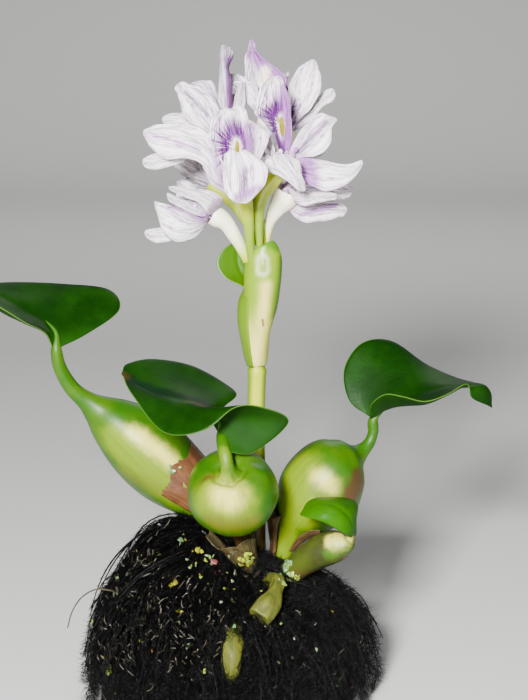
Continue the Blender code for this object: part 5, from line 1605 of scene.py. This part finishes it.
# Scraps on the roots as the camera sees them: the colour, place across and down, spread and number
# of each cluster, and the size of its larger scraps in millimetres
SCRAPS = {
    "green": [
        (288, 563, 5, 14, 2.6), (290, 578, 6, 12, 2.4), (135, 618, 7, 10, 2.0), (146, 563, 4, 5, 1.6),
        (141, 594, 4, 4, 1.5), (205, 671, 2, 2, 1.4), (335, 683, 7, 7, 1.6), (207, 557, 4, 4, 1.4),
        (326, 638, 2, 2, 2.2), (348, 652, 5, 5, 1.5), (277, 572, 4, 3, 1.6), (160, 548, 5, 4, 1.3),
        (183, 530, 7, 6, 1.2), (170, 471, 3, 5, 1.5), (181, 468, 2, 3, 1.2), (184, 486, 2, 3, 1.2)],
    "yellow": [
        (245, 560, 5, 16, 2.2), (266, 557, 3, 3, 1.6), (109, 671, 4, 8, 1.7), (190, 531, 4, 3, 1.4),
        (68, 627, 2, 2, 1.6), (340, 659, 3, 3, 1.4), (150, 552, 4, 3, 1.2)],
    "pink": [(214, 562, 2, 5, 2.0), (216, 571, 2, 3, 1.5), (362, 673, 3, 5, 2.0), (346, 560, 2, 2, 1.2)],
    "brown": [
        (166, 580, 5, 6, 3.0), (199, 550, 3, 4, 1.6), (167, 600, 2, 2, 1.6), (179, 610, 2, 3, 1.4),
        (377, 652, 4, 4, 3.4)],
    "buff": [
        (178, 528, 2, 4, 2.2), (182, 541, 3, 4, 1.8), (150, 535, 14, 14, 1.1), (120, 560, 12, 14, 1.1),
        (228, 541, 3, 4, 1.5), (236, 573, 1, 1, 2.2), (244, 577, 1, 1, 2.2), (126, 613, 3, 4, 1.8),
        # The last two buff clusters are pale specks where the wet roots glint, a painted highlight
        (150, 592, 6, 5, 1.2), (230, 552, 5, 4, 1.3), (188, 647, 4, 7, 1.2), (227, 629, 3, 5, 1.3)],
}
# The pieces besides the roots that scraps may lie on, with how far each scrap is lifted
UNDER_SCRAPS = (
    ("stalk_young", 0.5), ("runner_stub", 0.5), ("skin_front", 0.6), ("skin_left", 0.4),
    ("stalk_left", 0.4),
)
BEHIND_ROOTS = -14.0


def on_roots(across, down, lift):
    """The place on the roots that the camera sees, lifted towards it, and the outward way there."""
    eye = VIEW_TARGET + VIEW_BACK * VIEW_DISTANCE
    way = (seen(across, down, 0.0) - eye).normalized()
    best = (seen(across, down, BEHIND_ROOTS), None)
    for name, rise in (("root_heart", lift),) + UNDER_SCRAPS:
        piece = bpy.data.objects.get(name)
        hit, place, normal, _ = piece.ray_cast(eye * MM, way) if piece else (False, None, None, 0)
        if hit and (best[1] is None or (place / MM - eye).length - rise < (best[0] - eye).length):
            best = (place / MM - way * rise, normal)
    return best


# Operators: one for each piece or group of like pieces

class HYACINTH_OT_roots(bpy.types.Operator):
    """Make the mass of roots: a dark heart under strands with side hairs, in four quarters"""
    bl_idname = "hyacinth.roots"
    bl_label = "Roots"

    def execute(self, context):
        """Make the roots."""
        wet = root_material("wet_roots", "root_black", "root_brown_and_sheen", 0.14)
        heart = root_material("root_heart", "root_black", "root_black", 0.60)
        dress(root_core("root_heart"), "roots", heart, "root_mass")
        names = ("right_back", "left_back", "left_front", "right_front")
        for i, name in enumerate(names):
            piece = root_quarter("roots_" + name, 11 + i, i * math.pi / 2, (i + 1) * math.pi / 2)
            dress(piece, "roots", wet, "root_mass")
        bpy.context.view_layer.update()
        made = []
        for first, last, places in PALE_ROOTS:
            spine = Spine([on_roots(*place, 4.6)[0] for place in places])
            long = spine.length
            middle = 0.5 * (first + last)
            profile = [(0, 0), (0.3, first), (long * 0.5, middle), (long - 0.3, last), (long, 0)]
            made.append(round_piece("root", spine, profile, 10, 30, soft_lumps(0.25, 0.3)))
        pale = root_material("pale_roots", "root_pale", "root_brown_and_sheen", 0.30)
        dress(join_pieces("roots_pale", made), "roots", pale)
        fine = scrap_material("fine_roots_skin", "root_pale", "scrap_buff")
        dress(fine_roots("roots_fine"), "roots", fine)
        return {"FINISHED"}


class HYACINTH_OT_crown(bpy.types.Operator):
    """Make the short stem and the two runners"""
    bl_idname = "hyacinth.crown"
    bl_label = "Crown and runners"

    def execute(self, context):
        """Make the stem and runners."""
        cork = dead_material("crown_cork", "scar_brown", "runner_green", 0.45)
        runner = dead_material("runner_skin", "runner_green", "float_buff", 0.45, grain=14.0)
        plans = (
            ("crown_stem", RHIZOME_LINE, RHIZOME_PROFILE, cork, "crown", "rhizome", 0.16),
            ("runner_stub", STUB_LINE, STUB_PROFILE, runner, "runner", "stolon_stub", 0.22),
            ("runner_old", OLD_LINE, OLD_PROFILE, runner, "runner", "old_stolon", 0.18),
        )
        for name, line, profile, material, slot, node, lumps in plans:
            piece = round_piece(name, Spine(line), profile, 40, 60, soft_lumps(lumps, 0.16))
            dress(piece, slot, material, node)
        return {"FINISHED"}


class HYACINTH_OT_floats(bpy.types.Operator):
    """Make the four leaf stalks, swollen into floats"""
    bl_idname = "hyacinth.floats"
    bl_label = "Floats"

    def execute(self, context):
        """Make the floats."""
        lumps, young = soft_lumps(0.05), seen_lines(YOUNG_BLADE)[1][1:2]
        plans = (
            ("left", LEFT_LINE, LEFT_PROFILE, LEFT_BLADE[1][1:3], soft_lumps(0.05, 0.03), LEFT_FLOAT_MARKS),
            ("front", FRONT_LINE, FRONT_PROFILE, FRONT_BLADE[1][1:3], dimple_ribs, FRONT_FLOAT_MARKS),
            ("right", RIGHT_LINE, RIGHT_PROFILE, RIGHT_BLADE[1][1:3], lumps, RIGHT_FLOAT_MARKS),
            ("young", YOUNG_LINE, YOUNG_PROFILE, young, soft_lumps(0.06), YOUNG_FLOAT_MARKS),
        )
        for name, line, profile, rib, shape, marks in plans:
            tint = "float_dull" if name == "young" else "float_green"
            piece = stalk_piece("stalk_" + name, line, profile, rib, shape)
            dress(piece, "float_skin", float_material(f"stalk_{name}_skin", tint, marks), "float_" + name)
        return {"FINISHED"}


class HYACINTH_OT_blades(bpy.types.Operator):
    """Make the four leaf blades"""
    bl_idname = "hyacinth.blades"
    bl_label = "Leaf blades"

    def execute(self, context):
        """Make the blades."""
        under = blade_material("leaf_under", "leaf_under", "leaf_light", 0.62)
        plans = (
            ("left", LEFT_BLADE, 44, 80, 1.0, ()),
            ("front", FRONT_BLADE, 48, 110, 0.9, FRONT_BLADE_MARKS),
            ("right", RIGHT_BLADE[::-1], 44, 90, 0.9, RIGHT_BLADE_MARKS),
            ("young", seen_lines(YOUNG_BLADE), 30, 50, 0.3, ()),
        )
        for name, edges, across, along, ripple, marks in plans:
            tints = ("float_green", "bract_green") if name == "young" else ("leaf_dark", "leaf_light")
            top = blade_material(f"leaf_{name}_top", *tints, 0.40, marks)
            thick, shape = sizes().blade_thick, leaf_shape(ripple)
            piece = woven_sheet("leaf_" + name, edges, across, along, thick, (top, under), shape)
            dress(piece, "leaf_blade", None, "blade_" + name)
        return {"FINISHED"}


class HYACINTH_OT_sheaths(bpy.types.Operator):
    """Make the withered sheaths round the feet of the leaf stalks"""
    bl_idname = "hyacinth.sheaths"
    bl_label = "Sheaths"

    def execute(self, context):
        """Make the sheaths."""
        brown = dead_material("sheath_skin", "sheath_brown", "scar_brown", 0.30)
        pink = dead_material("sheath_pink_skin", "sheath_pink", "scar_brown", 0.22)
        film = dead_material("sheath_film_skin", "sheath_film", "sheath_brown", 0.25, 0.45)
        thick = sizes().sheath_thick
        piece = sheath_piece("skin_left", LEFT_LINE, LEFT_PROFILE, (26, 62), (-30, 125), 0.3, 0.13, thick)
        dress(piece, "sheath", pink, "sheath_left")
        piece = sheath_piece(
            "skin_front", FRONT_LINE, FRONT_PROFILE, (6, 31), (-120, 120), 6.5, 0.16, thick, -4.5)
        dress(piece, "sheath", film, "sheath_front")
        piece = join_pieces("skin_right", [
            sheath_piece("part", RIGHT_LINE, RIGHT_PROFILE, (24, 42), (20, 170), 1.5, 0.2, thick),
            sheath_piece("part", RIGHT_LINE, RIGHT_PROFILE, (14, 41), (-150, -35), 4.6, 0.15, thick, -1.5)])
        dress(piece, "sheath", brown, "sheath_right")
        return {"FINISHED"}


class HYACINTH_OT_flower_stalk(bpy.types.Operator):
    """Make the flower stalk with its joint"""
    bl_idname = "hyacinth.flower_stalk"
    bl_label = "Flower stalk"

    def execute(self, context):
        """Make the flower stalk."""
        skin = stalk_material(
            "flower_stalk_skin", "stalk_green", "bract_green", (300, 400), (0.34, 0.66, 0.7), STALK_MARKS)
        piece = round_piece("flower_stalk", Spine(STALK_LINE), STALK_PROFILE, 40, 150, soft_lumps(0.05))
        dress(piece, "flower_stalk", skin, "peduncle")
        return {"FINISHED"}


class HYACINTH_OT_bracts(bpy.types.Operator):
    """Make the two bracts round the flower stalk"""
    bl_idname = "hyacinth.bracts"
    bl_label = "Bracts"

    def execute(self, context):
        """Make the bracts."""
        cream = stalk_material(
            "bract_skin", "bract_cream", "tube_green", (158, 186), (0.34, 0.60, 0.62), BRACT_MARKS)
        green = stalk_material(
            "lower_bract_skin", "tube_green", "bract_dark", (186, 194), (0.45, 0.9, 0.5))
        thick = sizes().bract_thick
        dress(upper_bract_piece("bract_upper", thick), "bract", cream, "upper_spathe")
        edges = seen_lines(LOWER_BRACT)
        lower = woven_sheet("bract_lower", edges, 34, 90, thick, (green,), leaf_shape(0.3))
        dress(lower, "bract", None, "lower_spathe")
        return {"FINISHED"}


class HYACINTH_OT_flowers(bpy.types.Operator):
    """Make the eight flowers: tubes, petals and stamens"""
    bl_idname = "hyacinth.flowers"
    bl_label = "Flowers"

    def execute(self, context):
        """Make the flowers."""
        skins = {
            "green": tube_material("tube_green_skin", "tube_green", "stalk_green", 0.5),
            "white": tube_material("tube_white_skin", "stalk_green", "tube_cream", 0.30),
        }
        stamen = scrap_material("stamen_skin", "petal_lilac", "petal_white")
        for key, plan in FLOWERS.items():
            flower = Flower(plan)
            joined = key in JOINED_FLOWERS
            short = key.replace("_flower", "")
            piece = tube_piece(short + "_tube", flower)
            dress(piece, "flower_tube", skins[flower.skin], key if joined else key + "_tube")
            for slot in range(6):
                label = f"petal_{slot}" if slot else "banner_petal"
                name = f"{short}_{label}"
                if name in SHOWN_PETALS:
                    kind, crease, ruffle, rows = SHOWN_PETALS[name]
                    petal = petal_piece(name, seen_lines(rows), 24, 40, crease, ruffle, kind)
                else:
                    kind = ("streaked" if slot % 2 else "plain") if slot else "banner"
                    petal = petal_piece(name, flower.petal_edges(slot), 20, 36, -0.7, 0.7, kind)
                dress(petal, "petal", None, key if joined else f"{key}_{label}")
            stamens = join_pieces(short + "_stamens", stamen_pieces(flower))
            dress(stamens, "petal", stamen)
        return {"FINISHED"}


class HYACINTH_OT_scraps(bpy.types.Operator):
    """Scatter scraps of duckweed and dead leaf over the roots"""
    bl_idname = "hyacinth.scraps"
    bl_label = "Scraps on the roots"

    # The two drifts of loose scraps as the camera sees them: their middle across, their spreads
    # across and down, and their middle down
    DRIFTS = ((170, 32, 26), (230, 70, 28))
    DRIFT_HEIGHT = 590

    def execute(self, context):
        """Make the scraps."""
        rng = np.random.default_rng(31)
        tints = {
            "green": ("duckweed_green", "duckweed_yellow"), "yellow": ("duckweed_yellow", "duckweed_green"),
            "pink": ("scrap_pink", "scrap_brown"), "brown": ("scrap_brown", "duckweed_yellow"),
            "buff": ("scrap_buff", "duckweed_green"),
        }
        made = {tint: [] for tint in tints}
        for tint, clusters in SCRAPS.items():
            for across, down, spread, number, size in clusters:
                for _ in range(number):
                    spot = rng.normal(0.0, 0.6 * spread, 2) + (across, down)
                    place, normal = on_roots(*spot, rng.uniform(5.0, 7.0))
                    if normal:
                        made[tint].append(self.scrap(place, normal, size * rng.uniform(0.5, 1.0), rng))
        for i in range(sizes().scraps):
            tint = ("buff", "green", "brown", "buff", "yellow")[i % 5]
            if i % 3:
                across, *spread = self.DRIFTS[i % 3 - 1]
                spot = rng.normal(0.0, 1.0, 2) * spread + (across, self.DRIFT_HEIGHT)
                place, normal = on_roots(*spot, rng.uniform(4.5, 7.0))
            else:
                angle, lean = rng.uniform(0.0, 2.0 * math.pi), rng.uniform(0.1, 1.4)
                spot = np.array(angle), np.array(lean)
                normal = Vector(root_ways(*spot)[0])
                place = Vector(root_surface(*spot)) + normal * 1.5
            if normal:
                made[tint].append(self.scrap(place, normal, rng.uniform(0.3, 1.05), rng))
        for tint, pieces in made.items():
            name = "scraps_" + tint
            dress(join_pieces(name, pieces), "roots", scrap_material(name + "_skin", *tints[tint]))
        return {"FINISHED"}

    def scrap(self, place, normal, long, rng):
        """One small leaf, lying roughly flat on the roots."""
        bpy.ops.object.select_all(action="DESELECT")
        bpy.ops.mesh.primitive_uv_sphere_add(segments=8, ring_count=4, radius=1.0)
        scrap = bpy.context.active_object
        wide = long * rng.uniform(0.45, 0.85)
        tilt = Vector(normal) + Vector(rng.normal(0.0, 0.45, 3))
        turn = tilt.to_track_quat("Z", "Y").to_matrix() @ Matrix.Rotation(rng.uniform(0, 6.3), 3, "Z")
        for vert in scrap.data.vertices:
            x, y, z = vert.co
            dent = 1.0 + 0.25 * math.sin(3.0 * math.atan2(y, x) + long * 9.0)
            shaped = Vector((x * long * dent, y * wide * dent, z * 0.12 * long + 0.15 * x ** 2))
            vert.co = (Vector(place) + turn @ shaped) * MM
        bpy.ops.object.shade_smooth()
        return scrap


class HYACINTH_OT_stage(bpy.types.Operator):
    """Set the floor, the soft lights and the camera"""
    bl_idname = "hyacinth.stage"
    bl_label = "Stage"

    def execute(self, context):
        """Make the stage."""
        self.floor()
        self.lights(context.scene)
        self.camera(context.scene)
        return {"FINISHED"}

    def floor(self):
        """A plain pale floor that rises softly far behind the plant."""
        width = sizes().floor_width

        def place(u, v):
            """A point of the floor, in millimetres."""
            y = (v - 0.35) * width
            rise = 0.9 * smooth(y, width * 0.30, width * 0.62)
            return Vector((u * width * 0.5, y, rise - 0.0004)) / MM

        floor = grid_piece("floor", 20, 60, place)
        p = new_finish("floor_finish")
        clouds = p.noise(p.place(), 3.0)
        low = tuple(c * 0.96 for c in paint("floor_pale")[:3]) + (1.0,)
        floor.data.materials.append(p.finish(p.blend(clouds, paint("floor_pale"), low), clouds * 0.1 + 0.6))

    def lights(self, scene):
        """A key by the camera, a fill from the right, a rim from behind and one for the backdrop."""
        plans = (
            ("key", (-0.24, -1.16, 0.62), (0.0, 0.0, 0.15), 0.22, 80.0),
            ("fill", (1.0, -0.7, 0.45), (0.0, 0.0, 0.15), 0.9, 3.5),
            ("rim", (0.3, 1.1, 0.9), (0.0, 0.0, 0.15), 0.7, 3.5),
            ("backdrop", (0.0, 1.3, 1.3), (0.0, 3.0, 0.6), 1.5, 18.0),
        )
        for name, place, target, size, power in plans:
            lamp = bpy.data.lights.new(name, "AREA")
            lamp.energy = power
            lamp.size = size
            lamp_object = bpy.data.objects.new(name, lamp)
            lamp_object.location = place
            aim = Vector(target) - Vector(place)
            lamp_object.rotation_euler = aim.to_track_quat("-Z", "Y").to_euler()
            scene.collection.objects.link(lamp_object)
        world = bpy.data.worlds.new("studio")
        world.use_nodes = True
        world.node_tree.nodes["Background"].inputs[0].default_value = (0.85, 0.88, 0.92, 1.0)
        world.node_tree.nodes["Background"].inputs[1].default_value = 0.08
        scene.world = world

    def camera(self, scene):
        """The camera at the photograph's angle."""
        lens = bpy.data.cameras.new("camera")
        lens.lens = LENS
        lens.sensor_fit = "VERTICAL"
        lens.sensor_height = SENSOR_HEIGHT
        lens.clip_end = 20.0
        camera = bpy.data.objects.new("camera", lens)
        camera.location = (VIEW_TARGET + VIEW_BACK * VIEW_DISTANCE) * MM
        camera.rotation_euler = (-VIEW_BACK).to_track_quat("-Z", "Y").to_euler()
        scene.collection.objects.link(camera)
        scene.camera = camera


class HYACINTH_PT_panel(bpy.types.Panel):
    """Buttons for each group of pieces, with the sizes and colours"""
    bl_idname = "HYACINTH_PT_panel"
    bl_label = "Water Hyacinth"
    bl_space_type = "VIEW_3D"
    bl_region_type = "UI"
    bl_category = "Hyacinth"

    def draw(self, context):
        """Draw the buttons and settings."""
        for operator in OPERATORS:
            self.layout.operator(operator.bl_idname)
        for settings in (context.scene.hyacinth_sizes, context.scene.hyacinth_colours):
            box = self.layout.box()
            for name in settings.__annotations__:
                box.prop(settings, name)


OPERATORS = (
    HYACINTH_OT_roots, HYACINTH_OT_crown, HYACINTH_OT_floats, HYACINTH_OT_blades,
    HYACINTH_OT_sheaths, HYACINTH_OT_flower_stalk, HYACINTH_OT_bracts, HYACINTH_OT_flowers,
    HYACINTH_OT_scraps, HYACINTH_OT_stage,
)
CLASSES = (HyacinthSizes, HyacinthColours) + OPERATORS + (HYACINTH_PT_panel,)


def register():
    """Register the classes and their settings."""
    for item in CLASSES:
        bpy.utils.register_class(item)
    bpy.types.Scene.hyacinth_sizes = bpy.props.PointerProperty(type=HyacinthSizes)
    bpy.types.Scene.hyacinth_colours = bpy.props.PointerProperty(type=HyacinthColours)


def unregister():
    """Remove the settings and classes."""
    del bpy.types.Scene.hyacinth_colours
    del bpy.types.Scene.hyacinth_sizes
    for item in reversed(CLASSES):
        bpy.utils.unregister_class(item)


def main():
    """Build every piece in order."""
    register()
    bpy.ops.hyacinth.roots()
    bpy.ops.hyacinth.crown()
    bpy.ops.hyacinth.floats()
    bpy.ops.hyacinth.blades()
    bpy.ops.hyacinth.sheaths()
    bpy.ops.hyacinth.flower_stalk()
    bpy.ops.hyacinth.bracts()
    bpy.ops.hyacinth.flowers()
    bpy.ops.hyacinth.scraps()
    bpy.ops.hyacinth.stage()


if __name__ == "__main__":
    main()
